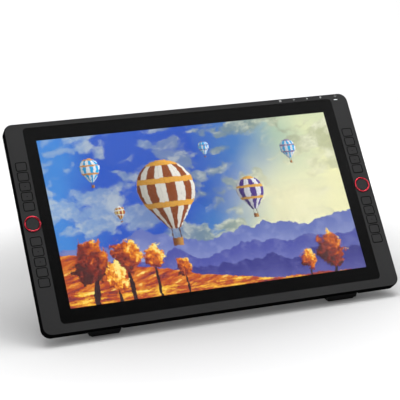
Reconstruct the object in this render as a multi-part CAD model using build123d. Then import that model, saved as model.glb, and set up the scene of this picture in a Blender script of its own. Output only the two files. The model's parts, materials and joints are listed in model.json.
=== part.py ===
"""A pen display on its tilting desk stand.

The display is built lying flat in a frame of its own: x to the right, y up the face, z out of the
face, with the origin at the middle of the face. One placement then tilts it on the stand's hinge
axis. The stand is built from the desk up, with y = 0 at the hinge axis. All sizes are in mm.
"""

from build123d import *
from math import cos, radians, sin
import os

os.makedirs("parts", exist_ok=True)

# Body of the display, outside the cover glass
side_strip = 29.0
top_strip = 8.0
bottom_strip = 15.0
body_corner = 14.0
body_side_depth = 14.5
body_depth = 40.0
cover_wall = 2.5
face_edge_round = 1.0

# The raised middle of the back
back_width = 430.0
back_height = 194.0
back_corner = 30.0
back_rise = 20.0
back_edge_round = 3.0

# Tilt of the face from the desk
rest_tilt = 50.27

# Front bezel
bezel_plate = 3.0
bezel_lip_depth = 4.0
bezel_lip_wall = 2.0
bezel_lip_gap = 0.3

# Cover glass, outside the lit area
glass_side_border = 17.97
glass_end_border = 21.605
glass_corner = 6.5
glass_thickness = 2.0
glass_recess = 0.2
glass_gap = 0.3
ledge_side_gap = 1.5
ledge_end_gap = 3.0
ledge_thickness = 1.8

# Panel behind the glass
lit_width = 476.06
lit_height = 267.79
panel_border = 3.0
panel_thickness = 1.2
tray_side_margin = 6.47
tray_end_margin = 8.605
tray_corner = 2.0
tray_thickness = 7.8
sensor_inset = 6.0
sensor_thickness = 1.8

# Chassis plate and its screw posts
chassis_thickness = 1.0
chassis_side_gap = 0.5
chassis_low_gap = 2.0
chassis_corner = 4.0
post_radius = 3.0
screw_hole_radius = 1.55
screw_pass_radius = 1.8
screw_radius = 1.5
screw_bite = 6.0
screw_tip_gap = 0.5
screw_head_radius = 3.0
screw_head_height = 1.8
screw_seat_depth = 17.0
screw_well_radius = 4.0
screw_boss_radius = 6.0
side_post_inset = 5.0
side_post_spread = 120.0
edge_post_inset = 4.5
top_post_spread = 130.0
bottom_post_spread = 90.0

# Express keys
key_column_share = 0.4483
key_row_centre = 5.35
first_key_offset = 27.7
key_pitch = 16.09
keys_per_group = 5
key_width = 15.3
key_height = 12.3
key_corner = 2.0
key_gap = 0.45
key_proud = 0.3
key_edge_break = 0.35
key_flange = 1.0
key_flange_thickness = 1.0
key_flange_gap = 0.1
key_stem_width = 4.0
key_stem_length = 1.2
key_travel = 0.8
key_dome_gap = 0.1
dot_radius = 0.7
dot_height = 0.3
low_dot_height = 0.15

# Dome sheets and key boards
dome_radius = 3.0
dome_tip_radius = 2.0
dome_height = 0.9
dome_sheet_thickness = 0.5
key_board_width = 19.0
key_board_length = 212.0
key_board_thickness = 1.6
board_corner = 2.0
key_post_radius = 2.0
key_post_near = 17.3
key_post_far = 102.6
key_post_gap = 0.5

# Dials
dial_ring_radius = 12.75
dial_ring_bore = 9.65
dial_ring_top = 1.5
dial_ring_round = 1.45
dial_hole_gap = 0.2
dial_knob_radius = 9.5
dial_knob_top = 0.8
dial_knob_round = 0.3
dial_step_depth = 0.6
dial_flange_radius = 13.3
dial_flange_thickness = 0.9
dial_flange_gap = 0.1
dial_ledge_gap = 0.4
dial_stem_radius = 3.0
dial_stem_end_gap = 0.3
running_gap = 0.05
encoder_width = 14.0
encoder_gap = 0.3
encoder_corner = 1.0

# Buttons on the top edge
button_insets = (116.3, 92.6, 69.1, 45.5, 19.1)
button_width = 9.0
button_height = 3.6
button_corner = 1.2
button_depth = 9.5
button_gap = 0.3
button_proud = 0.8
button_flange = 0.6
button_flange_thickness = 1.0
button_flange_gap = 0.2
button_stem_width = 3.0
button_stem_height = 2.0
button_stem_length = 1.8
button_travel = 0.8
button_switch_gap = 0.1
switch_width = 6.0
switch_length = 5.0
switch_height = 4.0

# Board behind the top buttons
osd_board_thickness = 1.2
osd_board_inset = 18.0
osd_board_end_reach = 9.0
osd_post_inset = 15.5
osd_post_radius = 2.2

# Status light
light_side_inset = 19.9
light_top_inset = 10.0
light_width = 6.2
light_height = 1.0
light_depth = 5.0
light_foot = 1.0
light_foot_thickness = 1.0
light_gap = 0.05

# Main board and sockets
main_board_width = 180.0
main_board_height = 106.0
main_board_thickness = 1.6
main_board_depth = 23.0
main_board_wall_gap = 0.4
standoff_radius = 3.0
standoff_inset = 6.0
chip_width = 22.0
chip_height = 2.0
chip_places = ((-45.0, 50.0), (5.0, 62.0), (48.0, 40.0))

# Port bay in the back
bay_half_width = 60.0
bay_top = -62.0
bay_bottom = -112.0
bay_depth = 20.0
bay_wall = 2.2
socket_gap = 0.2
socket_wall = 0.8
tongue_thickness = 1.2
tongue_side_gap = 1.5
tongue_recess = 2.0
hdmi_x = -16.0
hdmi_width = 15.0
hdmi_height = 6.0
hdmi_length = 12.0
usb_c_x = 7.0
usb_c_width = 9.4
usb_c_height = 3.6
usb_c_length = 8.5
usb_c_tongue = 0.7
usb_places = (26.0, 45.0)
usb_width = 14.4
usb_height = 7.0
usb_length = 14.0
power_x = -42.0
power_width = 9.6
power_height = 10.6
power_length = 13.0
power_bore = 2.8
power_bore_depth = 10.0
power_pin_radius = 1.0

# Threaded inserts for an arm
arm_spacing = 100.0
insert_radius = 3.0
insert_bore = 2.0
insert_length = 8.0
insert_boss = 5.5
insert_boss_extra = 1.0

# Vent slots
vent_count = 13
vent_pitch = 9.0
vent_width = 2.6
vent_length = 20.0
vent_columns_x = 130.0
vent_top_gap = 12.0
vent_end_share = 0.98

# Hinge
desk_to_face = 16.0
hinge_up_face = 8.5
hinge_behind_face = 18.0
hinge_x = 190.0
pin_radius = 3.0
pin_head_radius = 5.0
pin_head_thickness = 2.4
pin_cap_thickness = 2.4
ear_width = 20.0
ear_radius = 6.0
washer_radius = 5.6
washer_thickness = 1.0
cheek_thickness = 3.0
cheek_radius = 6.5
cheek_rear_rise = 2.4
cheek_front_rise = 8.0
bracket_plate = 3.0
bracket_length = 34.0
bracket_gap = 1.0
bracket_corner = 2.0
bracket_slot_gap = 0.3
bracket_slot_reach = 3.0
bracket_screw_spread_x = 9.0
bracket_screw_spread_y = 9.0
bracket_screw_radius = 1.4
bracket_head_radius = 2.6
bracket_head_height = 1.6

# Notch in the back for each hinge and foot
notch_half_width = 28.4
notch_front = 8.4
notch_clear = 1.5
notch_wall = 2.5

# Stand on the desk
pad_lift = 2.0
pad_seat = 1.0
stand_thickness = 6.0
stand_rear = 225.0
arm_width = 44.0
stand_corner = 20.0
front_bar_start = 24.0
front_bar_width = 26.0
rear_bar_width = 37.0
window_corner = 12.0
stand_edge = 1.2
foot_setback = 10.2
foot_top = 9.0
foot_length = 23.0
foot_outer_top = 217.0
foot_inner_top = 165.0
foot_outer_low = 214.7
foot_inner_low = 168.1
foot_pocket_gap = 0.5
foot_edge = 0.8
pad_width = 44.0
pad_front_inset = 1.2
pad_length = 40.0
pad_corner = 3.0
pad_gap = 0.1
overrun = 1.0

# Places worked out from the sizes above
glass_width = lit_width + 2 * glass_side_border
glass_height = lit_height + 2 * glass_end_border
body_width = glass_width + 2 * side_strip
body_height = glass_height + top_strip + bottom_strip
screen_rise = (bottom_strip - top_strip) / 2
tray_width = lit_width + 2 * tray_side_margin
tray_height = lit_height + 2 * tray_end_margin
chassis_half_width = glass_width / 2 - chassis_side_gap
side_post_x = glass_width / 2 - side_post_inset
key_column_x = glass_width / 2 + side_strip * key_column_share
button_places = [body_width / 2 - inset for inset in button_insets]
osd_board_low = body_height / 2 - osd_board_inset
osd_post_row = body_height / 2 - osd_post_inset
light_x = body_width / 2 - light_side_inset
light_y = body_height / 2 - light_top_inset
hinge_y = hinge_up_face - body_height / 2
hinge_z = -hinge_behind_face
tilt_cos = cos(radians(rest_tilt))
tilt_sin = sin(radians(rest_tilt))
hinge_height = desk_to_face + hinge_up_face * tilt_sin - hinge_behind_face * tilt_cos
edge_reach = hinge_up_face * tilt_cos + hinge_behind_face * tilt_sin
front_reach = (
    (hinge_up_face - face_edge_round) * tilt_cos
    + (hinge_behind_face - face_edge_round) * tilt_sin
    + face_edge_round
)
hinge_row_y = (front_reach - stand_rear) / 2
glass_back = -glass_recess - glass_thickness
ledge_back = glass_back - ledge_thickness
tray_back = glass_back - panel_thickness - tray_thickness
sensor_back = tray_back - sensor_thickness
chassis_back = sensor_back - chassis_thickness
wall_inside_y = body_height / 2 - cover_wall
key_flange_top = -bezel_plate - key_flange_gap
key_flange_back = key_flange_top - key_flange_thickness
key_back = key_flange_back - key_stem_length
dome_top = key_back - key_travel - key_dome_gap
board_front = dome_top - dome_height - dome_sheet_thickness
board_back = board_front - key_board_thickness
dial_flange_back = -bezel_plate - dial_flange_gap - dial_flange_thickness
encoder_front = dial_flange_back - encoder_gap
main_board_back = -main_board_depth - main_board_thickness
notch_top = hinge_y + ear_radius + notch_clear
cheek_inside = ear_width / 2 + washer_thickness
cheek_outside = cheek_inside + cheek_thickness
foot_front = foot_setback - edge_reach
stand_top = pad_lift + stand_thickness
button_inner = wall_inside_y - button_flange_gap - button_flange_thickness
switch_face = button_inner - button_stem_length - button_travel - button_switch_gap
osd_back = -button_depth - switch_height / 2 - osd_board_thickness

on_hinge = Pos(0, hinge_row_y, hinge_height) * Rot(rest_tilt, 0, 0) * Pos(0, -hinge_y, -hinge_z)
on_desk = Pos(0, hinge_row_y, 0)


def block(x_range, y_range, z_range):
    """A box between two values along each axis."""
    middle = [sum(pair) / 2 for pair in (x_range, y_range, z_range)]
    spans = [abs(pair[1] - pair[0]) for pair in (x_range, y_range, z_range)]
    return Pos(*middle) * Box(*spans)


def slab(width, height, corner, z_range, middle=(0, 0)):
    """A plate with rounded corners, from the first z down or up to the second."""
    outline = Pos(middle[0], middle[1], z_range[0]) * RectangleRounded(width, height, corner)
    return extrude(outline, amount=z_range[1] - z_range[0])


def rod(radius, place, z_range):
    """A round bar along z at a place in x and y."""
    outline = Pos(place[0], place[1], min(z_range)) * Circle(radius)
    return extrude(outline, amount=abs(z_range[1] - z_range[0]))


def shaft(radius, x_range, y, z):
    """A round bar along x."""
    span = abs(x_range[1] - x_range[0])
    return Pos(sum(x_range) / 2, y, z) * Rot(0, 90, 0) * Cylinder(radius, span)


def wedge(width, height, corner, z_range, top, middles):
    """A block that narrows from one rounded rectangle to another."""
    low = Pos(middles[0][0], middles[0][1], z_range[0]) * RectangleRounded(width, height, corner)
    high = Pos(middles[1][0], middles[1][1], z_range[1]) * RectangleRounded(*top)
    return loft([low, high], ruled=True)


def save(node, place, *shapes):
    """Writes a node's solids where they belong on the object."""
    solids = [solid for shape in shapes for solid in (place * shape).solids()]
    export_step(Compound(children=solids), f"parts/{node}.step")


def key_rows():
    """The height of each key of a column, from the top down, and its tactile dot."""
    above = [key_row_centre + first_key_offset + key_pitch * n for n in range(keys_per_group)]
    below = [2 * key_row_centre - y for y in above]
    dots = [0, 0, dot_height, low_dot_height, 0, 0, low_dot_height, dot_height, 0, 0]
    return list(zip(above[::-1] + below, dots))


def key_post_rows():
    """The heights of the posts that carry a key board."""
    offsets = (-key_post_far, -key_post_near, key_post_near, key_post_far)
    return [key_row_centre + offset for offset in offsets]


def screw_places():
    """The places of the cover screws, and the depth at which each post ends."""
    top = screen_rise + glass_height / 2 - edge_post_inset
    bottom = screen_rise - glass_height / 2 + edge_post_inset
    for side in (-1, 1):
        for y in (-side_post_spread, 0, side_post_spread):
            yield (side * side_post_x, screen_rise + y), chassis_back
    for x in (-top_post_spread, 0, top_post_spread):
        yield (x, top), sensor_back
    for x in (-bottom_post_spread, bottom_post_spread):
        yield (x, bottom), sensor_back


def osd_post_places():
    """The places of the posts that carry the board of the top buttons."""
    pairs = list(zip(button_places, button_places[1:]))
    return [(sum(pair) / 2, osd_post_row) for pair in (pairs[0], pairs[2], pairs[-1])]


def make_bezel():
    """The moulded frame round the glass, with its key wells, dial holes, lip and posts."""
    plate = slab(body_width, body_height, body_corner, (-bezel_plate, 0))
    plate = fillet(plate.faces().sort_by(Axis.Z)[-1].edges(), face_edge_round)
    lip_back = -bezel_plate - bezel_lip_depth
    inset = 2 * (cover_wall + bezel_lip_gap)
    inner = inset + 2 * bezel_lip_wall
    lip = slab(
        body_width - inset,
        body_height - inset,
        body_corner - inset / 2,
        (-bezel_plate, lip_back),
    ) - slab(
        body_width - inner,
        body_height - inner,
        body_corner - inner / 2,
        (-bezel_plate + overrun, lip_back - overrun),
    )
    middle = (0, screen_rise)
    window = (
        glass_width + 2 * glass_gap,
        glass_height + 2 * glass_gap,
        glass_corner + glass_gap,
    )
    added = [lip, slab(*window, (-bezel_plate, ledge_back), middle)]
    cuts = [
        slab(*window, (overrun, glass_back), middle),
        slab(
            tray_width + 2 * ledge_side_gap,
            tray_height + 2 * ledge_end_gap,
            glass_corner,
            (overrun, ledge_back - overrun),
            middle,
        ),
        block(
            (light_x - light_width / 2, light_x + light_width / 2),
            (light_y - light_height / 2, light_y + light_height / 2),
            (overrun, -bezel_plate - overrun),
        ),
    ]
    for side in (-1, 1):
        half = notch_half_width + notch_wall
        cuts.append(
            block(
                (side * hinge_x - half, side * hinge_x + half),
                (-body_height / 2, notch_top + notch_wall),
                (-bezel_plate, lip_back - overrun),
            )
        )
        x = side * key_column_x
        for y, _ in key_rows():
            cuts.append(
                slab(
                    key_width + 2 * key_gap,
                    key_height + 2 * key_gap,
                    key_corner + key_gap,
                    (overrun, -bezel_plate - overrun),
                    (x, y),
                )
            )
        dial = (x, key_row_centre)
        cuts.append(rod(dial_ring_radius + dial_hole_gap, dial, (-bezel_plate - overrun, overrun)))
        relief = (-bezel_plate, dial_flange_back - overrun)
        cuts.append(rod(dial_flange_radius + dial_ledge_gap, dial, relief))
        for y in key_post_rows():
            added.append(rod(key_post_radius, (x, y), (-bezel_plate, board_front)))
    for place, end in screw_places():
        added.append(rod(post_radius, place, (ledge_back, sensor_back)))
        cuts.append(rod(screw_hole_radius, place, (sensor_back + screw_bite, sensor_back - overrun)))
    for place in osd_post_places():
        added.append(rod(osd_post_radius, place, (ledge_back, osd_back + osd_board_thickness)))
    return (plate + added) - cuts


def make_glass():
    """The etched cover glass, flush in the bezel."""
    middle = (0, screen_rise)
    return slab(glass_width, glass_height, glass_corner, (glass_back, -glass_recess), middle)


def make_panel():
    """The liquid crystal cell, bonded to the glass."""
    width = lit_width + 2 * panel_border
    height = lit_height + 2 * panel_border
    z_range = (glass_back - panel_thickness, glass_back)
    return block((-width / 2, width / 2), (screen_rise - height / 2, screen_rise + height / 2), z_range)


def make_tray():
    """The backlight tray behind the cell."""
    z_range = (tray_back, glass_back - panel_thickness)
    return slab(tray_width, tray_height, tray_corner, z_range, (0, screen_rise))


def make_sensor():
    """The pen sensor board behind the tray."""
    width = tray_width - 2 * sensor_inset
    height = tray_height - 2 * sensor_inset
    return slab(width, height, tray_corner, (sensor_back, tray_back), (0, screen_rise))


def board_corners():
    """The places of the main board's four standoffs."""
    half = main_board_width / 2 - standoff_inset
    low = bay_top + bay_wall + main_board_wall_gap + standoff_inset
    high = low + main_board_height - 2 * standoff_inset
    return [(x, y) for x in (-half, half) for y in (low, high)]


def bracket_screw_places(side):
    """The places of one hinge bracket's four screws."""
    middle = chassis_low() + bracket_gap + bracket_length / 2
    return [
        (side * hinge_x + x, middle + y)
        for x in (-bracket_screw_spread_x, bracket_screw_spread_x)
        for y in (-bracket_screw_spread_y, bracket_screw_spread_y)
    ]


def chassis_low():
    """The chassis plate's lower edge."""
    return screen_rise - tray_height / 2 - chassis_low_gap


def make_chassis():
    """The steel plate that carries the boards and the hinge brackets."""
    low = chassis_low()
    high = screen_rise + tray_height / 2
    shape = slab(
        2 * chassis_half_width,
        high - low,
        chassis_corner,
        (chassis_back, sensor_back),
        (0, (low + high) / 2),
    )
    for place, end in screw_places():
        if end == chassis_back:
            shape -= rod(screw_pass_radius, place, (chassis_back - overrun, sensor_back + overrun))
    for place in board_corners():
        shape += rod(standoff_radius, place, (-main_board_depth, chassis_back))
    for side in (-1, 1):
        for place in bracket_screw_places(side):
            shape -= rod(bracket_screw_radius, place, (chassis_back - overrun, sensor_back + overrun))
    return shape


def make_main_board():
    """The main board with its larger chips."""
    low = bay_top + bay_wall + main_board_wall_gap
    middle = (0, low + main_board_height / 2)
    z_range = (main_board_back, -main_board_depth)
    shape = slab(main_board_width, main_board_height, board_corner, z_range, middle)
    for x, rise in chip_places:
        half = chip_width / 2
        y = low + rise
        shape += block(
            (x - half, x + half),
            (y - half, y + half),
            (main_board_back - chip_height, main_board_back),
        )
    return shape


def make_key(x, y, dot):
    """One express key: cap, retaining flange, stem and tactile dot."""
    cap = slab(key_width, key_height, key_corner, (key_flange_top, key_proud), (x, y))
    cap = chamfer(cap.faces().sort_by(Axis.Z)[-1].edges(), key_edge_break)
    flange = slab(
        key_width + 2 * key_flange,
        key_height + 2 * key_flange,
        key_corner,
        (key_flange_back, key_flange_top),
        (x, y),
    )
    half = key_stem_width / 2
    stem = block((x - half, x + half), (y - half, y + half), (key_back, key_flange_back))
    shape = cap + flange + stem
    if dot:
        tip = rod(dot_radius, (x, y), (0, key_proud + dot))
        shape += tip
    return shape


def make_dome_sheet(side):
    """The rubber sheet under a column of keys, its domes shown as pressed."""
    x = side * key_column_x
    back = board_front
    front = back + dome_sheet_thickness
    shape = slab(key_board_width, key_board_length, board_corner, (back, front), (x, key_row_centre))
    for y, _ in key_rows():
        foot = Pos(x, y, front) * Circle(dome_radius)
        tip = Pos(x, y, dome_top) * Circle(dome_tip_radius)
        shape += loft([foot, tip], ruled=True)
    for y in key_post_rows():
        shape -= rod(key_post_radius + key_post_gap, (x, y), (back - overrun, front + overrun))
    half = encoder_width / 2 + key_post_gap
    shape -= block(
        (x - half, x + half),
        (key_row_centre - half, key_row_centre + half),
        (back - overrun, front + overrun),
    )
    return shape


def make_key_board(side):
    """The board under a column of keys."""
    place = (side * key_column_x, key_row_centre)
    return slab(key_board_width, key_board_length, board_corner, (board_back, board_front), place)


def make_encoder(side):
    """The rotary encoder that a dial's stem turns in."""
    place = (side * key_column_x, key_row_centre)
    shape = slab(encoder_width, encoder_width, encoder_corner, (board_front, encoder_front), place)
    bore = dial_stem_radius + running_gap
    return shape - rod(bore, place, (board_front, encoder_front + overrun))


def make_dial_ring(side):
    """The bright ring of a dial, rounded on top."""
    low = -dial_step_depth
    section = make_face(
        Polyline(
            (dial_ring_bore, low),
            (dial_ring_radius, low),
            (dial_ring_radius, dial_ring_top),
            (dial_ring_bore, dial_ring_top),
            close=True,
        )
    )
    section = fillet(section.vertices().sort_by(Axis.Y)[-2:], dial_ring_round)
    ring = revolve(Plane.XZ * section, Axis.Z)
    return Pos(side * key_column_x, key_row_centre, 0) * ring


def make_dial_knob(side):
    """The knob that carries the ring, with its flange under the bezel and its stem."""
    place = (side * key_column_x, key_row_centre)
    top = rod(dial_knob_radius, place, (-dial_step_depth, dial_knob_top))
    top = fillet(top.faces().sort_by(Axis.Z)[-1].edges(), dial_knob_round)
    body = rod(dial_ring_radius, place, (dial_flange_back, -dial_step_depth))
    flange_top = dial_flange_back + dial_flange_thickness
    flange = rod(dial_flange_radius, place, (dial_flange_back, flange_top))
    stem = rod(dial_stem_radius, place, (board_front + dial_stem_end_gap, dial_flange_back))
    return top + body + flange + stem


def edge_slot(x, width, height, corner, y_range):
    """A rounded bar along y, at the depth of the top buttons."""
    plane = Plane(origin=(x, y_range[0], -button_depth), x_dir=(1, 0, 0), z_dir=(0, 1, 0))
    return extrude(plane * RectangleRounded(width, height, corner), amount=y_range[1] - y_range[0])


def make_button(x):
    """One button of the top edge: cap, flange inside the wall and stem."""
    top = body_height / 2 + button_proud
    cap_start = wall_inside_y - button_flange_gap
    shape = edge_slot(x, button_width, button_height, button_corner, (cap_start, top))
    shape += edge_slot(
        x,
        button_width + 2 * button_flange,
        button_height + 2 * button_flange,
        button_corner,
        (button_inner, cap_start),
    )
    half_width = button_stem_width / 2
    half_height = button_stem_height / 2
    return shape + block(
        (x - half_width, x + half_width),
        (button_inner - button_stem_length, button_inner),
        (-button_depth - half_height, -button_depth + half_height),
    )


def make_osd_board():
    """The board behind the top buttons, with a side switch for each."""
    start = button_places[0] - osd_board_end_reach
    end = button_places[-1] + osd_board_end_reach
    board_top = osd_back + osd_board_thickness
    shape = block((start, end), (osd_board_low, switch_face), (osd_back, board_top))
    for x in button_places:
        shape += block(
            (x - switch_width / 2, x + switch_width / 2),
            (switch_face - switch_length, switch_face),
            (board_top, board_top + switch_height),
        )
    return shape


def make_light_guide():
    """The clear bar that brings the status light to the face."""
    half_width = light_width / 2 - light_gap
    half_height = light_height / 2 - light_gap
    shape = block(
        (light_x - half_width, light_x + half_width),
        (light_y - half_height, light_y + half_height),
        (-light_depth, 0),
    )
    return shape + block(
        (light_x - half_width - light_foot, light_x + half_width + light_foot),
        (light_y - half_height - light_foot, light_y + half_height + light_foot),
        (-bezel_plate - light_foot_thickness, -bezel_plate),
    )


def notch(side, grow):
    """The space of one hinge and foot in the lower edge, grown by a wall where asked."""
    centre = side * hinge_x
    return block(
        (centre - notch_half_width - grow, centre + notch_half_width + grow),
        (-body_height / 2 - overrun, notch_top + grow),
        (-notch_front + grow, -body_depth - overrun),
    )


def bay(grow):
    """The space of the port bay in the back, grown by a wall where asked."""
    return block(
        (-bay_half_width - grow, bay_half_width + grow),
        (bay_bottom - grow, bay_top + grow),
        (-bay_depth + grow, -body_depth - overrun),
    )


def back_form(inset):
    """The body of the back, or with an inset the space inside it."""
    straight = slab(
        body_width - 2 * inset,
        body_height - 2 * inset,
        body_corner - inset,
        (-bezel_plate, -body_side_depth + inset),
    )
    slope = wedge(
        body_width - 2 * inset,
        body_height - 2 * inset,
        body_corner - inset,
        (-body_side_depth + inset, -body_depth + inset),
        (back_width - 2 * inset, back_height - 2 * inset, back_corner - inset),
        ((0, 0), (0, back_rise)),
    )
    return straight + slope


def arm_places():
    """The places of the four threaded inserts."""
    half = arm_spacing / 2
    return [(x, back_rise + y) for x in (-half, half) for y in (-half, half)]


def make_rear_cover():
    """The moulded back: side walls, slopes, bosses, hinge notches, port bay, slots and vents."""
    outer = back_form(0)
    outer = fillet(outer.faces().sort_by(Axis.Z)[0].edges(), back_edge_round)
    kept = [bay(bay_wall)]
    cuts = [bay(0)]
    for side in (-1, 1):
        kept.append(notch(side, notch_wall))
        cuts.append(notch(side, 0))
        for cheek in (-1, 1):
            middle = side * hinge_x + cheek * (cheek_inside + cheek_outside) / 2
            half = cheek_thickness / 2 + bracket_slot_gap
            slot_back = chassis_back - bracket_plate - bracket_slot_gap
            slot_front = hinge_z + cheek_front_rise + bracket_slot_gap
            cuts.append(
                block(
                    (middle - half, middle + half),
                    (notch_top - overrun, notch_top + notch_wall + bracket_slot_reach),
                    (slot_back, slot_front),
                )
            )
    for place, end in screw_places():
        kept.append(rod(screw_boss_radius, place, (-body_depth, end)))
        cuts.append(rod(screw_well_radius, place, (-body_depth - overrun, -screw_seat_depth)))
        cuts.append(rod(screw_pass_radius, place, (-screw_seat_depth, end + overrun)))
    insert_end = -body_depth + insert_length
    for place in arm_places():
        kept.append(rod(insert_boss, place, (-body_depth, insert_end + insert_boss_extra)))
        cuts.append(rod(insert_radius, place, (-body_depth - overrun, insert_end)))
    for x in button_places:
        cuts.append(
            edge_slot(
                x,
                button_width + 2 * button_gap,
                button_height + 2 * button_gap,
                button_corner + button_gap,
                (wall_inside_y - overrun, body_height / 2 + overrun),
            )
        )
    for x, width, height in socket_list():
        cuts.append(
            block(
                (x - width / 2 - socket_gap, x + width / 2 + socket_gap),
                (bay_top - overrun, bay_top + bay_wall + overrun),
                (main_board_back - height - socket_gap, main_board_back + socket_gap),
            )
        )
    vent_y = back_rise + back_height / 2 - vent_top_gap - vent_length / 2
    for column in (-1, 1):
        for number in range(vent_count):
            x = column * vent_columns_x + (number - (vent_count - 1) / 2) * vent_pitch
            cuts.append(
                slab(
                    vent_width,
                    vent_length,
                    vent_width / 2 * vent_end_share,
                    (-body_depth - overrun, -body_depth + cover_wall + overrun),
                    (x, vent_y),
                )
            )
    cavity = back_form(cover_wall) - kept
    return (outer - cavity) - cuts


def socket_list():
    """The place, width and height of each socket in the bay."""
    yield power_x, power_width, power_height
    yield hdmi_x, hdmi_width, hdmi_height
    yield usb_c_x, usb_c_width, usb_c_height
    for x in usb_places:
        yield x, usb_width, usb_height


def make_socket(x, width, height, length, tongue):
    """A metal socket shell with a tongue inside, opening towards the bay."""
    top = main_board_back
    low = top - height
    shape = block((x - width / 2, x + width / 2), (bay_top, bay_top + length), (low, top))
    wall = socket_wall
    shape -= block(
        (x - width / 2 + wall, x + width / 2 - wall),
        (bay_top - overrun, bay_top + length - wall),
        (low + wall, top - wall),
    )
    middle = (low + top) / 2
    return shape + block(
        (x - width / 2 + wall + tongue_side_gap, x + width / 2 - wall - tongue_side_gap),
        (bay_top + tongue_recess, bay_top + length),
        (middle - tongue / 2, middle + tongue / 2),
    )


def make_power_socket():
    """The round power socket with its centre pin."""
    low = main_board_back - power_height
    shape = block(
        (power_x - power_width / 2, power_x + power_width / 2),
        (bay_top, bay_top + power_length),
        (low, main_board_back),
    )
    turned = Pos(power_x, bay_top, (low + main_board_back) / 2) * Rot(-90, 0, 0)
    shape -= turned * Pos(0, 0, power_bore_depth / 2) * Cylinder(power_bore, power_bore_depth)
    pin_length = power_bore_depth - tongue_recess
    pin_middle = tongue_recess + pin_length / 2
    return shape + turned * Pos(0, 0, pin_middle) * Cylinder(power_pin_radius, pin_length)


def make_cover_screws():
    """The screws that hold the back to the bezel."""
    for place, end in screw_places():
        head = (-screw_seat_depth - screw_head_height, -screw_seat_depth)
        shank = (-screw_seat_depth, sensor_back + screw_bite - screw_tip_gap)
        yield rod(screw_head_radius, place, head) + rod(screw_radius, place, shank)


def make_inserts():
    """The four threaded inserts for an arm or a wall plate."""
    for place in arm_places():
        depth = (-body_depth, -body_depth + insert_length)
        bore = (-body_depth - overrun, -body_depth + insert_length + overrun)
        yield rod(insert_radius, place, depth) - rod(insert_bore, place, bore)


def make_bracket(side):
    """A steel hinge bracket: a plate on the chassis and two cheeks that reach the hinge axis."""
    centre = side * hinge_x
    low = chassis_low() + bracket_gap
    plate_back = chassis_back - bracket_plate
    shape = slab(
        2 * cheek_outside,
        bracket_length,
        bracket_corner,
        (plate_back, chassis_back),
        (centre, low + bracket_length / 2),
    )
    outline = Polyline(
        (low + bracket_length / 2, chassis_back),
        (chassis_low() - bracket_gap, chassis_back),
        (notch_top, hinge_z + cheek_front_rise),
        (hinge_y, hinge_z + cheek_radius),
        (hinge_y, hinge_z - cheek_radius),
        (notch_top - notch_clear, hinge_z - cheek_rear_rise),
        (notch_top, plate_back),
        (low + bracket_length / 2, plate_back),
        close=True,
    )
    for cheek in (-1, 1):
        start = centre + cheek * cheek_inside
        plane = Plane(origin=(start, 0, 0), x_dir=(0, 1, 0), z_dir=(1, 0, 0))
        blade = extrude(plane * make_face(outline), amount=cheek * cheek_thickness)
        eye = shaft(cheek_radius, (start, start + cheek * cheek_thickness), hinge_y, hinge_z)
        shape += blade + eye
        shape -= shaft(
            pin_radius,
            (start - cheek * overrun / 2, start + cheek * (cheek_thickness + overrun / 2)),
            hinge_y,
            hinge_z,
        )
    for place in bracket_screw_places(side):
        shape -= rod(bracket_screw_radius, place, (plate_back - overrun, chassis_back + overrun))
    return shape


def make_bracket_screws():
    """The screws of both hinge brackets."""
    for side in (-1, 1):
        for place in bracket_screw_places(side):
            seat = chassis_back - bracket_plate
            head = rod(bracket_head_radius, place, (seat - bracket_head_height, seat))
            yield head + rod(bracket_screw_radius, place, (seat, sensor_back))


def make_pin(side):
    """A hinge pin, with its head outboard."""
    centre = side * hinge_x
    head_start = centre + side * cheek_outside
    tail = centre - side * (cheek_outside + pin_cap_thickness)
    shape = shaft(pin_radius, (tail, head_start), hinge_y, hinge_z)
    head = (head_start, head_start + side * pin_head_thickness)
    return shape + shaft(pin_head_radius, head, hinge_y, hinge_z)


def make_pin_cap(side):
    """The retaining cap on the inboard end of a hinge pin."""
    start = side * (hinge_x - cheek_outside)
    ends = (start, start - side * pin_cap_thickness)
    shape = shaft(pin_head_radius, ends, hinge_y, hinge_z)
    return shape - shaft(pin_radius, ends, hinge_y, hinge_z)


def make_washers():
    """The friction washers on both sides of each ear."""
    for side in (-1, 1):
        for face in (-1, 1):
            start = side * hinge_x + face * ear_width / 2
            ends = (start, start + face * washer_thickness)
            washer = shaft(washer_radius, ends, hinge_y, hinge_z)
            yield washer - shaft(pin_radius, ends, hinge_y, hinge_z)


def make_foot(side):
    """One front foot with its lip, the pocket for the bracket's cheeks and the ear."""
    corners = [
        (foot_inner_low, pad_lift),
        (foot_outer_low, pad_lift),
        (foot_outer_top, foot_top),
        (foot_inner_top, foot_top),
    ]
    front = Plane(origin=(0, foot_front, 0), x_dir=(1, 0, 0), z_dir=(0, -1, 0))
    outline = make_face(Polyline(*[(side * x, z) for x, z in corners], close=True))
    shape = extrude(front * outline, amount=-foot_length)
    front_edges = shape.faces().sort_by(Axis.Y)[0].edges()
    shape = chamfer(front_edges, foot_edge)
    pocket = (side * (hinge_x - pocket_half()), side * (hinge_x + pocket_half()))
    shape -= shaft(cheek_radius + foot_pocket_gap, pocket, 0, hinge_height)
    shape -= block(pocket, (0, foot_length), (stand_top, foot_top + overrun))
    ends = (side * (hinge_x - ear_width / 2), side * (hinge_x + ear_width / 2))
    shape += shaft(ear_radius, ends, 0, hinge_height)
    shape += block(ends, (-ear_radius, ear_radius), (pad_lift, hinge_height))
    return shape


def pocket_half():
    """Half the width of the pocket for a bracket, its pin head and its cap."""
    return cheek_outside + max(pin_head_thickness, pin_cap_thickness) + foot_pocket_gap


def pad_places():
    """The middle of each rubber pad under the stand."""
    front = foot_front + pad_front_inset + pad_length / 2
    rear = stand_rear - pad_front_inset - stand_corner - pad_length / 2
    return [(side * hinge_x, y) for side in (-1, 1) for y in (front, rear)]


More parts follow.
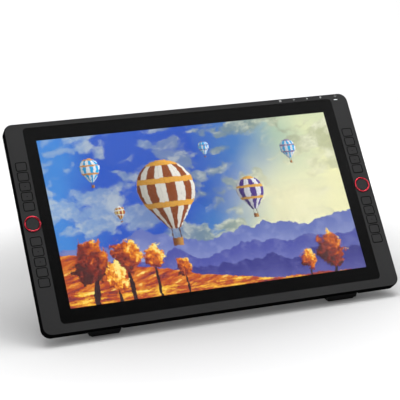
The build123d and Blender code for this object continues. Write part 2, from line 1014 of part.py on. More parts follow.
def make_stand():
    """The frame on the desk: two arms, two bars, the feet and the hinge ears."""
    half = hinge_x + arm_width / 2
    length = stand_rear - front_bar_start
    frame = slab(
        2 * half,
        length,
        stand_corner,
        (pad_lift, stand_top),
        (0, front_bar_start + length / 2),
    )
    for side in (-1, 1):
        inner = hinge_x - arm_width / 2
        frame += block(
            (side * inner, side * half),
            (foot_front + foot_length / 2, front_bar_start + stand_corner),
            (pad_lift, stand_top),
        )
    frame = chamfer(frame.faces().sort_by(Axis.Z)[-1].outer_wire().edges(), stand_edge)
    window_low = front_bar_start + front_bar_width
    window_high = stand_rear - rear_bar_width
    frame -= slab(
        2 * (hinge_x - arm_width / 2),
        window_high - window_low,
        window_corner,
        (pad_lift - overrun, stand_top + overrun),
        (0, (window_low + window_high) / 2),
    )
    for side in (-1, 1):
        ends = (side * (hinge_x - pocket_half()), side * (hinge_x + pocket_half()))
        frame -= shaft(cheek_radius + foot_pocket_gap, ends, 0, hinge_height)
        frame += make_foot(side)
        bore = (side * (hinge_x - ear_width), side * (hinge_x + ear_width))
        frame -= shaft(pin_radius + running_gap, bore, 0, hinge_height)
    for place in pad_places():
        frame -= slab(
            pad_width + 2 * pad_gap,
            pad_length + 2 * pad_gap,
            pad_corner + pad_gap,
            (pad_lift - overrun, pad_lift + pad_seat),
            place,
        )
    return frame


def make_pads():
    """The rubber pads under the stand."""
    for place in pad_places():
        yield slab(pad_width, pad_length, pad_corner, (0, pad_lift + pad_seat), place)


save("base_frame", on_desk, make_stand())
save("foot_pads", on_desk, *make_pads())
save("front_bezel", on_hinge, make_bezel())
save("cover_glass", on_hinge, make_glass())
save("lcd_panel", on_hinge, make_panel())
save("backlight_tray", on_hinge, make_tray())
save("pen_sensor_board", on_hinge, make_sensor())
save("chassis_plate", on_hinge, make_chassis())
save("main_board", on_hinge, make_main_board())
save("rear_cover", on_hinge, make_rear_cover())
save("cover_screws", on_hinge, *make_cover_screws())
save("arm_inserts", on_hinge, *make_inserts())
save("hinge_brackets", on_hinge, make_bracket(-1), make_bracket(1))
save("bracket_screws", on_hinge, *make_bracket_screws())
save("hinge_pins", on_hinge, make_pin(-1), make_pin(1))
save("hinge_caps", on_hinge, make_pin_cap(-1), make_pin_cap(1))
save("friction_washers", on_hinge, *make_washers())
save("dial_encoders", on_hinge, make_encoder(-1), make_encoder(1))
save("osd_board", on_hinge, make_osd_board())
save("status_light_guide", on_hinge, make_light_guide())
save("power_socket", on_hinge, make_power_socket())
save(
    "hdmi_socket",
    on_hinge,
    make_socket(hdmi_x, hdmi_width, hdmi_height, hdmi_length, tongue_thickness),
)
save(
    "usb_c_socket",
    on_hinge,
    make_socket(usb_c_x, usb_c_width, usb_c_height, usb_c_length, usb_c_tongue),
)
save(
    "usb_sockets",
    on_hinge,
    *[make_socket(x, usb_width, usb_height, usb_length, tongue_thickness) for x in usb_places],
)
for side, side_name in ((-1, "left"), (1, "right")):
    save(f"dome_sheet_{side_name}", on_hinge, make_dome_sheet(side))
    save(f"key_board_{side_name}", on_hinge, make_key_board(side))
    save(f"dial_ring_{side_name}", on_hinge, make_dial_ring(side))
    save(f"dial_knob_{side_name}", on_hinge, make_dial_knob(side))
    for number, (y, dot) in enumerate(key_rows(), start=1):
        save(f"key_{side_name}_{number}", on_hinge, make_key(side * key_column_x, y, dot))
button_names = ("menu", "minus", "plus", "brightness", "power")
for button_name, x in zip(button_names, button_places):
    save(f"button_{button_name}", on_hinge, make_button(x))
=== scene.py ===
"""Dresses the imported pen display: finishes, lit picture, printed marks and screws, in a studio.

The display's sizes are millimetres in its own frame: x to the right, y up the face, z out of the
face, from the middle of the face. The studio is in metres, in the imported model's frame.
"""

from __future__ import annotations

import json
import logging
import math
from collections.abc import Iterable, Sequence
from dataclasses import dataclass, field
from enum import Enum

import bmesh
import bpy
from mathutils import Matrix, Vector

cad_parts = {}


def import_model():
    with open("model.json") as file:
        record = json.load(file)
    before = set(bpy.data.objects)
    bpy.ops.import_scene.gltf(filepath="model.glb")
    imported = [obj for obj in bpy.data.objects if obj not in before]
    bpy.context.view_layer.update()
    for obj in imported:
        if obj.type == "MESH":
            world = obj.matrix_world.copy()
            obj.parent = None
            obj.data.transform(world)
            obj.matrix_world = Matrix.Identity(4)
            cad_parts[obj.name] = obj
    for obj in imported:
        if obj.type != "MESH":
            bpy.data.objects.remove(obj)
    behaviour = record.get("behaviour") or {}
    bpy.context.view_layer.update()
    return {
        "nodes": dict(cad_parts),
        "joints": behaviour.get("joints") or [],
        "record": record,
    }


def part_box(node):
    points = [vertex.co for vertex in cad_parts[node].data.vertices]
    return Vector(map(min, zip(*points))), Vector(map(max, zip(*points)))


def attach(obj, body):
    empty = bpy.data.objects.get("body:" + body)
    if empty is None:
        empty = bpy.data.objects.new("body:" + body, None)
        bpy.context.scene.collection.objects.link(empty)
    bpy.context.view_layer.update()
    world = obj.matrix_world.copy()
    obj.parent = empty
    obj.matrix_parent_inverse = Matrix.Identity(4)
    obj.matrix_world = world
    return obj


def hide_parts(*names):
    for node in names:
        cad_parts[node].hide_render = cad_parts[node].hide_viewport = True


LOG = logging.getLogger("pen_display")
MM = 0.001
GLASS_MIDDLE_Y = 3.5
GLASS_MIDDLE_Z = -1.2
LIT_WIDTH = 476.06
LIT_HEIGHT = 267.79
DIAL_X = 269.0
DIAL_Y = 5.35
SMOOTH_ANGLE = 40.0
MERGE_DISTANCE = 1e-7

Point = tuple[float, float]
Triple = tuple[float, float, float]
Colour = Triple
Form = bmesh.types.BMesh
Material = bpy.types.Material
Mesh = bpy.types.Mesh
Piece = bpy.types.Object
Socket = bpy.types.NodeSocket


class Body(Enum):
    """The moving bodies that the scene's own pieces ride on."""

    DISPLAY = "display"
    DIAL_LEFT = "dial_left"
    DIAL_RIGHT = "dial_right"


class Grain(Enum):
    """How a moulded surface is textured: how many features in a metre, and their depth in mm."""

    FINE = (2200.0, 0.02)
    COARSE = (900.0, 0.05)
    POLISHED = None


class Side(Enum):
    """The two sides of the face, as seen from the front."""

    LEFT = -1
    RIGHT = 1

    @property
    def word(self) -> str:
        """The side in the names of pieces and bodies."""
        return self.name.lower()


class Blend(Enum):
    """How one colour goes over another."""

    OVER = "MIX"
    TIMES = "MULTIPLY"


class Wiring:
    """A node tree, with short calls that add nodes and link them."""

    def __init__(self, tree: bpy.types.NodeTree) -> None:
        """Holds the tree."""
        self.tree = tree

    def feed(self, target: Socket, value: object) -> None:
        """Links a socket to another, or sets its value.

        Args:
            target: The socket to fill.
            value: A value, a socket, a number, a vector or a colour.
        """
        if isinstance(value, Value):
            value = value.socket
        if isinstance(value, Socket):
            self.tree.links.new(value, target)
        elif target.type == "RGBA":
            target.default_value = (*value, 1.0)
        else:
            target.default_value = value

    def add(
        self,
        kind: str,
        *values: object,
        settings: dict[str, object] | None = None,
        **inputs: object,
    ) -> bpy.types.Node:
        """Adds a node, sets its options and fills its sockets.

        Args:
            kind: The node's type.
            values: What goes into its first sockets, in order.
            settings: Its options, by name.
            inputs: What goes into its other sockets, by name, with _ for each space.

        Returns:
            The node.
        """
        node = self.tree.nodes.new(kind)
        for name, value in (settings or {}).items():
            setattr(node, name, value)
        for target, value in zip(node.inputs, values):
            self.feed(target, value)
        for name, value in inputs.items():
            self.feed(node.inputs[name.replace("_", " ")], value)
        return node

    def value(self, kind: str, output: str | int, *values: object, **inputs: object) -> Value:
        """One output of a node that is added with the same calls."""
        return Value(self, self.add(kind, *values, **inputs).outputs[output])

    def split(self, vector: object) -> tuple[Value, ...]:
        """The three parts of a vector."""
        parts = self.add("ShaderNodeSeparateXYZ", vector).outputs
        return tuple(Value(self, part) for part in parts)


class Value:
    """A value in a tree, which takes plain arithmetic."""

    def __init__(self, wiring: Wiring, socket: Socket) -> None:
        """Holds the tree and the socket that gives the value."""
        self.wiring = wiring
        self.socket = socket

    def maths(self, operation: str, *others: object) -> Value:
        """The result of a Math node on this value and others."""
        options = {"operation": operation}
        return self.wiring.value("ShaderNodeMath", 0, self, *others, settings=options)

    def __add__(self, other: object) -> Value:
        """The sum."""
        return self.maths("ADD", other)

    def __mul__(self, other: object) -> Value:
        """The product."""
        return self.maths("MULTIPLY", other)

    def __sub__(self, other: object) -> Value:
        """This value less another."""
        return self.maths("SUBTRACT", other)

    def __rsub__(self, other: float) -> Value:
        """A number less this value."""
        return self.maths("MULTIPLY_ADD", -1.0, other)

    def __abs__(self) -> Value:
        """The value without its sign."""
        return self.maths("ABSOLUTE")

    def spread(
        self, low: object, high: object, to: Point = (0.0, 1.0), smooth: bool = False
    ) -> Value:
        """A clamped change of range.

        Args:
            low: What becomes the first of to.
            high: What becomes the second.
            to: The new range.
            smooth: Whether it eases in and out.

        Returns:
            The changed value.
        """
        options = {"interpolation_type": "SMOOTHSTEP" if smooth else "LINEAR"}
        ends = {"From_Min": low, "From_Max": high, "To_Min": to[0], "To_Max": to[1]}
        return self.wiring.value("ShaderNodeMapRange", "Result", self, settings=options, **ends)

    def step(self, low: object, high: object) -> Value:
        """A smooth rise from 0 at low to 1 at high."""
        return self.spread(low, high, smooth=True)

    def ramp(self, stops: Sequence[tuple[float, Colour]]) -> Value:
        """A colour that follows this value.

        Args:
            stops: Places from 0 to 1 and their colours, in rising order.

        Returns:
            The colour.
        """
        node = self.wiring.add("ShaderNodeValToRGB", self)
        points = node.color_ramp.elements
        while len(points) < len(stops):
            points.new(0.5)
        for point, (position, colour) in zip(points, stops):
            point.position = position
            point.color = (*colour, 1.0)
        return Value(self.wiring, node.outputs["Color"])


def reach(across: Value, along: Value) -> Value:
    """The length of a flat vector."""
    return (across * across + along * along).maths("SQRT")


class Sheet(Wiring):
    """One material's node tree, with short calls for the nodes that the finishes use."""

    def __init__(self, name: str) -> None:
        """Starts a material whose surface is one Principled shader.

        Args:
            name: The material's name.
        """
        self.material = bpy.data.materials.new(name)
        self.material.use_nodes = True
        super().__init__(self.material.node_tree)
        self.surface = next(n for n in self.tree.nodes if n.type == "BSDF_PRINCIPLED")
        self.place = self.value("ShaderNodeTexCoord", "Object")

    def set(self, **sockets: object) -> None:
        """Fills sockets of the Principled shader, given with _ for each space."""
        for name, value in sockets.items():
            self.feed(self.surface.inputs[name.replace("_", " ")], value)

    def join(self, x: object, y: object, z: object = 0.0) -> Value:
        """A vector from three values."""
        return self.value("ShaderNodeCombineXYZ", 0, x, y, z)

    def noise(self, place: Value, scale: float, detail: float = 3.0, rough: float = 0.5) -> Value:
        """Soft noise.

        Args:
            place: Where it is read.
            scale: How many features lie in one unit of place.
            detail: How many finer octaves are added.
            rough: How strong the finer octaves are.

        Returns:
            A value around 0.5.
        """
        sockets = {"Vector": place, "Scale": scale, "Detail": detail, "Roughness": rough}
        return self.value("ShaderNodeTexNoise", "Fac", **sockets)

    def cells(self, place: Value, scale: float) -> Value:
        """The distance to the middle of the nearest Voronoi cell."""
        return self.value("ShaderNodeTexVoronoi", "Distance", Vector=place, Scale=scale)

    def mix(self, share: object, low: object, high: object, how: Blend = Blend.OVER) -> Value:
        """One colour laid over another.

        Args:
            share: How much of the second shows.
            low: The first colour.
            high: The second colour.
            how: The way they mix.

        Returns:
            The mixed colour.
        """
        options = {"data_type": "RGBA", "blend_type": how.value}
        node = self.add("ShaderNodeMix", share, settings=options)
        first, second = (socket for socket in node.inputs if socket.type == "RGBA")
        self.feed(first, low)
        self.feed(second, high)
        return Value(self, next(socket for socket in node.outputs if socket.type == "RGBA"))

    def bump(self, height: Value, depth_mm: float) -> None:
        """Raises the surface by a height from 0 to 1 times a depth in millimetres."""
        raised = self.value("ShaderNodeBump", "Normal", Height=height, Distance=depth_mm * MM)
        self.set(Normal=raised)


@dataclass(frozen=True)
class Finish:
    """What all finishes share: a name, a main colour and a roughness."""

    name: str
    colour: Colour
    roughness: float

    def dress(self) -> Material:
        """Builds the material.

        Returns:
            The material.
        """
        sheet = Sheet(self.name)
        self.paint(sheet)
        return sheet.material

    def paint(self, sheet: Sheet) -> None:
        """Fills the material's tree."""
        sheet.set(Base_Color=self.colour, Roughness=self.roughness)

    def shades(self, sheet: Sheet, value: Value, darkest: float, palest: float = 1.0) -> Value:
        """The main colour in changing strength.

        Args:
            sheet: The material's tree.
            value: What the strength follows, from 0 to 1.
            darkest: The strength at 0.
            palest: The strength at 1.

        Returns:
            The colour.
        """
        ends = (tuple(strength * part for part in self.colour) for strength in (darkest, palest))
        return sheet.mix(value, *ends)

    def rough(self, value: Value, low: float, high: float, less: float, more: float) -> Value:
        """The roughness, from less to more around its middle, as a value goes from low to high."""
        return value.spread(low, high, (self.roughness - less, self.roughness + more))


@dataclass(frozen=True)
class Moulded(Finish):
    """Moulded plastic, rubber or powder coat: an even colour with a fine textured skin."""

    grain: Grain = Grain.FINE
    specular: float = 0.4

    def paint(self, sheet: Sheet) -> None:
        """Fills the material's tree.

        Args:
            sheet: The tree.
        """
        clouds, specks = (sheet.noise(sheet.place, scale, 2.0) for scale in (9.0, 2600.0))
        drift = (clouds + specks * 0.35).spread(0.4, 0.95)
        colour = self.tint(sheet, self.shades(sheet, drift, darkest=0.9, palest=1.1))
        sheet.set(Base_Color=colour, Specular_IOR_Level=self.specular, Roughness=self.roughness)
        if self.grain is not Grain.POLISHED:
            scale, depth = self.grain.value
            texture = sheet.noise(sheet.place, scale, rough=0.6)
            sheet.set(Roughness=self.rough(texture, 0.35, 0.65, less=0.06, more=0.06))
            sheet.bump(texture, depth)

    def tint(self, sheet: Sheet, colour: Value) -> Value:
        """Leaves the colour as it is."""
        return colour


@dataclass(frozen=True)
class Metal(Finish):
    """Metal with fine lines along one axis: rolled sheet, turned pins, pressed shells."""

    stretch: Triple = (8.0, 500.0, 500.0)

    def paint(self, sheet: Sheet) -> None:
        """Fills the material's tree.

        Args:
            sheet: The tree.
        """
        stretched = sheet.value("ShaderNodeMapping", 0, Vector=sheet.place, Scale=self.stretch)
        lines = sheet.noise(stretched, 1.0, rough=0.6)
        cloud = sheet.noise(sheet.place, 60.0).spread(0.35, 0.7)
        sheet.set(
            Base_Color=self.shades(sheet, cloud, darkest=0.8),
            Metallic=1.0,
            Roughness=self.rough(lines, 0.3, 0.7, less=0.05, more=0.07),
        )
        sheet.bump(lines, depth_mm=0.004)


@dataclass(frozen=True)
class Anodised(Finish):
    """Dyed, polished aluminium under a clear seal."""

    def paint(self, sheet: Sheet) -> None:
        """Fills the material's tree.

        Args:
            sheet: The tree.
        """
        cloud = sheet.noise(sheet.place, 500.0, 2.0).spread(0.35, 0.65)
        sheet.set(
            Base_Color=self.shades(sheet, cloud, darkest=0.82),
            Metallic=0.92,
            Roughness=self.roughness,
            Coat_Weight=1.0,
            Coat_Roughness=0.06,
        )
        sheet.bump(sheet.noise(sheet.place, 2500.0, 2.0), depth_mm=0.002)


@dataclass(frozen=True)
class CircuitBoard(Finish):
    """Solder mask over a grid of tracks, with scattered copper vias."""

    copper: Colour = (0.6, 0.45, 0.16)

    def paint(self, sheet: Sheet) -> None:
        """Fills the material's tree.

        Args:
            sheet: The tree.
        """
        sockets = {"Vector": sheet.place, "Scale": 90.0, "Mortar Size": 0.012}
        tracks = sheet.value("ShaderNodeTexBrick", "Fac", **sockets)
        pale = tuple(min(1.0, 1.8 * part + 0.01) for part in self.colour)
        vias = sheet.cells(sheet.place, 140.0).step(0.16, 0.12)
        sheet.set(
            Base_Color=sheet.mix(vias, sheet.mix(tracks, self.colour, pale), self.copper),
            Roughness=self.roughness,
            Metallic=vias * 0.8,
        )
        sheet.bump(tracks, depth_mm=0.03)


@dataclass(frozen=True)
class Print(Finish):
    """Screen-printed ink or a lit lens, a little uneven."""

    glow: float = 0.0

    def paint(self, sheet: Sheet) -> None:
        """Fills the material's tree.

        Args:
            sheet: The tree.
        """
        cloud = sheet.noise(sheet.place, 1800.0).spread(0.3, 0.7)
        colour = self.shades(sheet, cloud, darkest=0.88)
        sheet.set(Base_Color=colour, Roughness=self.roughness)
        if self.glow:
            sheet.set(Emission_Color=colour, Emission_Strength=self.glow)


@dataclass(frozen=True)
class EtchedGlass(Finish):
    """Clear cover glass with a fine etched skin against glare."""

    def paint(self, sheet: Sheet) -> None:
        """Fills the material's tree.

        Args:
            sheet: The tree.
        """
        etch = sheet.noise(sheet.place, 3500.0, 2.0)
        sheet.set(
            Base_Color=self.colour,
            Roughness=self.rough(etch, 0.3, 0.7, less=0.02, more=0.03),
            Transmission_Weight=1.0,
            IOR=1.5,
        )


@dataclass(frozen=True)
class Face:
    """The display's own frame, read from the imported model."""

    middle: Vector
    up: Vector
    out: Vector

    @classmethod
    def read(cls, joints: Iterable[dict]) -> Face:
        """Finds the face's plane from a key's travel and the glass.

        Args:
            joints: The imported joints.

        Returns:
            The face.
        """
        press = next(j for j in joints if j["name"] == "key_left_1_press")
        out = -Vector(press["axis"]).normalized()
        up = out.cross(Vector((1.0, 0.0, 0.0))).normalized()
        low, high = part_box("cover_glass")
        glass = (low + high) / 2
        return cls(glass - up * GLASS_MIDDLE_Y * MM - out * GLASS_MIDDLE_Z * MM, up, out)

    @property
    def matrix(self) -> Matrix:
        """The move from millimetres in the display's frame to metres in the model's frame.

        Returns:
            The matrix.
        """
        columns = (Vector((1.0, 0.0, 0.0)), self.up, self.out)
        turn = Matrix([[column[row] for column in columns] for row in range(3)])
        return Matrix.Translation(self.middle) @ turn.to_4x4() @ Matrix.Scale(MM, 4)

    def flat(self, sheet: Sheet, middle_y: float, unit: float) -> Value:
        """A material's coordinates across the face.

        Args:
            sheet: The material's tree.
            middle_y: How far up the face zero lies, in millimetres.
            unit: The length that becomes 1, in millimetres.

        Returns:
            The coordinates, with x to the right and y up the face.
        """
        tilt = math.atan2(self.up.z, self.up.y)
        size = 1.0 / (unit * MM)
        zero = Matrix.Rotation(-tilt, 3, "X") @ (self.matrix @ Vector((0.0, middle_y, 0.0))) * size
        places = {"Location": -zero, "Rotation": (-tilt, 0.0, 0.0), "Scale": (size, size, size)}
        return sheet.value("ShaderNodeMapping", 0, Vector=sheet.place, **places)


@dataclass(frozen=True)
class FaceSkin(Moulded):
    """Moulded plastic, grey and with a sheen in one layer, and dead black painted shade outside it.

    The layer is two heights above the face. The front is the outline's half width, half height and
    corner, where the layer ends at one. All are in millimetres.
    """

    specular: float = 0.0
    face: Face | None = None
    layer: Point = (-0.35, 9.0)
    # Painted shade: the black that stands for shade on sides, round edges and in wells.
    dark: Colour = (0.0026, 0.0026, 0.0028)
    sheen: float = 0.25
    sheen_roughness: float = 0.55
    front: Triple | None = None
    fade: float = 0.1

    def tint(self, sheet: Sheet, colour: Value) -> Value:
        """Keeps the colour and the sheen inside the layer, and inside the front outline if any.

        Args:
            sheet: The material's tree.
            colour: The colour by the face.

        Returns:
            The colour, black outside the layer as painted shade.
        """
        x, y, depth = sheet.split(self.face.flat(sheet, middle_y=0.0, unit=1.0))
        low, high = self.layer
        # Painted shade: outside the layer and the front outline the colour goes dead black.
        inside = depth.step(low - 0.05, low) * depth.step(high + 0.03, high)
        if self.front is not None:
            half_width, half_height, corner = self.front
            past_x = (abs(x) - (half_width - corner)).maths("MAXIMUM", 0.0)
            past_y = (abs(y) - (half_height - corner)).maths("MAXIMUM", 0.0)
            inside = inside * reach(past_x, past_y).step(corner, corner - self.fade)
        sheet.set(Coat_Weight=inside * self.sheen, Coat_Roughness=self.sheen_roughness)
        return sheet.mix(inside, self.dark, colour)


@dataclass(frozen=True)
class Balloon:
    """One hot-air balloon of the picture, in picture heights."""

    x: float
    y: float
    radius: float
    colours: tuple[Colour, Colour, Colour]
    gores: int = 9


@dataclass(frozen=True)
class Tree:
    """One autumn tree of the picture, in picture heights."""

    x: float
    y: float
    radius: float
    foot: float
    warmth: float


@dataclass
class Painting:
    """The lit picture while it is painted, in picture heights from its middle.

    An outline fades over twice the length called edge, so that it has no jagged pixels.
    """

    sheet: Sheet
    x: Value
    y: Value
    place: Value
    colour: Value | None = None
    edge: float = 0.002

    def lay(self, share: Value, colour: object) -> None:
        """Covers a share of what is painted so far with a colour."""
        self.colour = self.sheet.mix(share, self.colour, colour)

    def line(self, shift: float, scale: float, detail: float, rough: float) -> Value:
        """A ragged line across the picture, around 0."""
        place = self.sheet.join(self.x + shift, 0.0)
        return self.sheet.noise(place, scale, detail, rough) - 0.5

    def sky(self) -> None:
        """Sky from deep blue at the left to cream at the right, with banks of cloud."""
        sheet, x, y, noise = self.sheet, self.x, self.y, self.sheet.noise
        turn = x + y * -0.25 + (noise(self.place, 1.6) - 0.5) * 0.7
        self.colour = turn.spread(-0.85, 0.85).ramp(
            (
                (0.0, (0.06, 0.24, 0.66)),
                (0.16, (0.03, 0.10, 0.52)),
                (0.42, (0.022, 0.085, 0.48)),
                (0.60, (0.06, 0.19, 0.50)),
                (0.78, (0.42, 0.55, 0.42)),
                (1.0, (0.90, 0.88, 0.50)),
            )
        )
        warp = noise(self.place, 5.0, 4.0) * 0.30
        drawn = sheet.join(x + warp, y * 1.7 + warp)
        bank = noise(drawn, 2.3, 6.0, 0.58) + (0.42 - sheet.cells(drawn, 9.0)) * 0.16
        low_light = noise(sheet.join(x, y - 0.035), 4.6, 6.0, 0.62)
        lit = low_light * 0.62 + noise(drawn, 12.0, 5.0, 0.66) * 0.38
        shade = turn.spread(-0.8, 0.7).ramp(
            (
                (0.0, (0.22, 0.36, 0.62)),
                (0.35, (0.15, 0.22, 0.42)),
                (0.7, (0.19, 0.27, 0.26)),
                (1.0, (0.50, 0.52, 0.31)),
            )
        )
        tops = sheet.mix(lit.step(0.45, 0.60), shade, (0.84, 0.84, 0.64))
        cloud = sheet.mix(turn.spread(-0.4, 0.7, (0.36, 0.84)), shade, tops)
        self.lay(bank.step(0.45, 0.53) * 0.92, cloud)
        glow = reach(x - 0.56, (y + 0.04) * 1.2).step(0.55, 0.0)
        self.lay(glow * 0.85, (0.98, 0.93, 0.60))

    def ridges(self) -> None:
        """Three ridges, paler with distance."""
        tone = self.sheet.noise(self.place, 14.0, 4.0, 0.6).step(0.5, 0.62) * 0.35
        for base, height, scale, shift, crest, foot in (
            (-0.16, 0.48, 2.1, 3.1, (0.13, 0.17, 0.47), (0.30, 0.34, 0.60)),
            (-0.27, 0.34, 3.4, 8.7, (0.075, 0.085, 0.37), (0.20, 0.22, 0.50)),
            (-0.36, 0.22, 6.2, 14.3, (0.045, 0.045, 0.24), (0.12, 0.12, 0.38)),
        ):
            depth = self.line(shift, scale, 6.0, 0.55) * height + base - self.y
            body = self.sheet.mix(depth.step(0.0, 0.22), crest, foot)
            self.lay(depth.step(-self.edge, self.edge), self.sheet.mix(tone, body, foot))

    def meadow(self) -> None:
        """Two warm slopes at the foot of the picture, with streaks of light."""
        ember, straw = (0.50, 0.07, 0.02), (1.0, 0.80, 0.22)
        for base, rise, pivot, shift, dark, light in (
            (-0.52, -0.26, 0.35, 2.7, (0.10, 0.02, 0.05), (0.78, 0.26, 0.03)),
            (-0.47, -0.05, 0.2, 6.1, (0.06, 0.015, 0.06), (0.98, 0.55, 0.05)),
        ):
            lean = (self.x - pivot) * rise
            depth = lean + self.line(shift, 3.0, 5.0, 0.5) * 0.12 + base - self.y
            along = self.sheet.join(self.x * 3.0, (self.y + lean) * 16.0)
            streak = self.sheet.noise(along, 2.4, 5.0, 0.65).spread(0.32, 0.68)
            tone = streak.ramp(((0.0, dark), (0.42, ember), (0.78, light), (1.0, straw)))
            self.lay(depth.step(-self.edge, self.edge), tone)

    def tree(self, tree: Tree) -> None:
        """A trunk and a ragged crown of leaves.

        Args:
            tree: Where it stands and how large it is.
        """
        sheet, x, y = self.sheet, self.x, self.y
        dx, dy = (x - tree.x) * (1.0 / tree.radius), (y - tree.y) * (0.85 / tree.radius)
        bend = (sheet.noise(self.place, 7.0, 2.0) - 0.5) * 0.5
        width = y.spread(tree.foot, tree.y, (0.16, 0.03))
        trunk = abs(dx + bend).step(width, width * 0.7) * (tree.y - y).step(0.0, 2 * self.edge)
        self.lay(trunk, (0.035, 0.015, 0.02))
        ragged = sheet.noise(self.place, 0.9 / tree.radius + 4.0, 6.0, 0.7)
        dab = sheet.noise(sheet.join(x + tree.x, y), 26.0, 4.0, 0.75)
        leaves = dab + (dx + dy) * 0.12 + 0.16 * tree.warmth
        colours = (
            (0.0, (0.07, 0.02, 0.02)),
            (0.35, (0.28, 0.035, 0.025)),
            (0.65, (0.70, 0.15, 0.015)),
            (0.85, (1.0, 0.48, 0.04)),
            (1.0, (1.0, 0.80, 0.25)),
        )
        crown = (reach(dx, dy) + (ragged - 0.5) * 2.4).step(1.0, 0.92)
        self.lay(crown, leaves.spread(0.34, 0.74).ramp(colours))

    def balloon(self, balloon: Balloon) -> None:
        """A balloon with coloured gores, two bands, ropes and a basket.

        Args:
            balloon: Where it floats, its size and its colours.
        """
        mix, share = self.sheet.mix, 1.0 / balloon.radius
        dx, dy = (self.x - balloon.x) * share, (self.y - balloon.y) * share
        ball = (1.0 - dy * dy).maths("MAXIMUM", 0.0).maths("SQRT")
        low = dy.step(-0.54, -0.56)
        half = low * dy.spread(-1.42, -0.55, (0.20, 0.835)) + (1.0 - low) * ball
        part = dx.maths("DIVIDE", half.maths("MAXIMUM", 0.05))
        angle = part.maths("MAXIMUM", -1.0).maths("MINIMUM", 1.0).maths("ARCSINE")
        counts = (balloon.gores, 2 * balloon.gores)
        gores, seams = ((angle * count).maths("SINE") for count in counts)
        plain, strong, warm = balloon.colours
        cloth = mix(gores.step(-0.08, 0.08), plain, strong)
        cloth = mix(abs(abs(dy + 0.15) - 0.42).step(0.10, 0.085), cloth, warm)
        cloth = mix(dy.step(0.80, 0.82), cloth, warm)
        cloth = mix(abs(seams).step(0.16, 0.0) * 0.45, cloth, (0.05, 0.02, 0.03))
        light = (part + dy * 0.35).spread(-1.0, 1.1, (0.42, 1.12))
        inside = (half - abs(dx)).step(0.0, 0.02) * dy.step(-1.43, -1.41)
        self.lay(inside, mix(1.0, cloth, self.sheet.join(light, light, light), Blend.TIMES))
        ropes = abs(abs(dx) - 0.13).step(0.022, 0.012)
        self.lay(ropes * dy.step(-1.78, -1.76) * dy.step(-1.40, -1.42), (0.10, 0.05, 0.04))
        basket = abs(dx).step(0.18, 0.165) * dy.step(-2.02, -2.0) * dy.step(-1.74, -1.76)
        self.lay(basket, mix(dx.step(-0.1, 0.15), (0.16, 0.05, 0.015), (0.55, 0.27, 0.07)))


@dataclass(frozen=True)
class LitPicture(Finish):
    """The lit picture: a plain autumn valley with clouds, ridges, trees and balloons."""

    face: Face
    glow: float = 1.08
    dabs: float = 70.0
    smear: float = 0.35
    balloons: tuple[Balloon, ...] = (
        Balloon(-0.20, 0.13, 0.175, ((0.86, 0.82, 0.74), (0.30, 0.07, 0.015), (0.86, 0.42, 0.06))),
        Balloon(0.30, 0.06, 0.085, ((0.84, 0.84, 0.88), (0.10, 0.05, 0.30), (0.86, 0.45, 0.08)), 7),
        Balloon(0.60, 0.30, 0.050, ((0.85, 0.84, 0.90), (0.02, 0.45, 0.85), (0.30, 0.22, 0.40))),
        Balloon(-0.62, 0.30, 0.060, ((0.88, 0.90, 0.94), (0.02, 0.42, 0.86), (0.75, 0.35, 0.10))),
        Balloon(0.08, 0.36, 0.034, ((0.85, 0.88, 0.94), (0.02, 0.42, 0.86), (0.20, 0.20, 0.45))),
        Balloon(-0.50, 0.02, 0.032, ((0.90, 0.75, 0.30), (0.45, 0.10, 0.03), (0.80, 0.80, 0.85))),
    )
    trees: tuple[Tree, ...] = (
        Tree(-0.52, -0.24, 0.085, -0.40, 0.10),
        Tree(-0.36, -0.27, 0.060, -0.40, 0.55),
        Tree(-0.72, -0.25, 0.115, -0.46, -0.35),
        Tree(-0.60, -0.36, 0.075, -0.52, 0.95),
        Tree(-0.20, -0.35, 0.045, -0.45, 0.20),
        Tree(0.55, -0.40, 0.050, -0.52, 0.45),
        Tree(0.70, -0.36, 0.085, -0.52, -0.25),
    )

    def paint(self, sheet: Sheet) -> None:
        """Paints the picture in nodes, as light from the panel, in small brush dabs.

        Args:
            sheet: The material's tree.
        """
        flat = self.face.flat(sheet, GLASS_MIDDLE_Y, LIT_HEIGHT)
        middles = sheet.value("ShaderNodeTexVoronoi", "Position", Vector=flat, Scale=self.dabs)
        across, along, _ = sheet.split(sheet.mix(self.smear, flat, middles))
        painting = Painting(sheet, across, along, sheet.join(across, along))
        painting.sky()
        painting.ridges()
        painting.meadow()
        for tree in self.trees:
            painting.tree(tree)
        for balloon in self.balloons:
            painting.balloon(balloon)
        super().paint(sheet)
        sheet.set(Emission_Color=painting.colour, Emission_Strength=self.glow)


def rounded(width: float, height: float, corner: float, steps: int = 8) -> list[Point]:
    """The outline of a rounded rectangle about zero, anticlockwise.

    Args:
        width: Its width.
        height: Its height.
        corner: Its corners' radius.
        steps: How many straight lines make one corner.

    Returns:
        The outline's points.
    """
    points = []
    for turn, (sx, sy) in enumerate(((1, 1), (-1, 1), (-1, -1), (1, -1))):
        for step in range(steps + 1):
            angle = math.pi / 2 * (turn + step / steps)
            x = sx * (width / 2 - corner) + corner * math.cos(angle)
            y = sy * (height / 2 - corner) + corner * math.sin(angle)
            points.append((x, y))
    return points


def oblong(x: Point, y: Point) -> list[Point]:
    """The outline of a rectangle between two values along each axis."""
    return [(x[0], y[0]), (x[1], y[0]), (x[1], y[1]), (x[0], y[1])]


def circle(radius: float, lobe: float = 0.0, lobes: int = 6, steps: int = 36) -> list[Point]:
    """The outline of a circle about zero, or of a lobed recess.

    Args:
        radius: Its radius.
        lobe: How deep the lobes are, as a share of the radius.
        lobes: How many lobes there are.
        steps: How many straight lines make the outline.

    Returns:
        The outline's points.
    """
    points = []
    for step in range(steps):
        angle = 2 * math.pi * step / steps
        far = radius * (1 + lobe * math.cos(lobes * angle))
        points.append((far * math.cos(angle), far * math.sin(angle)))
    return points


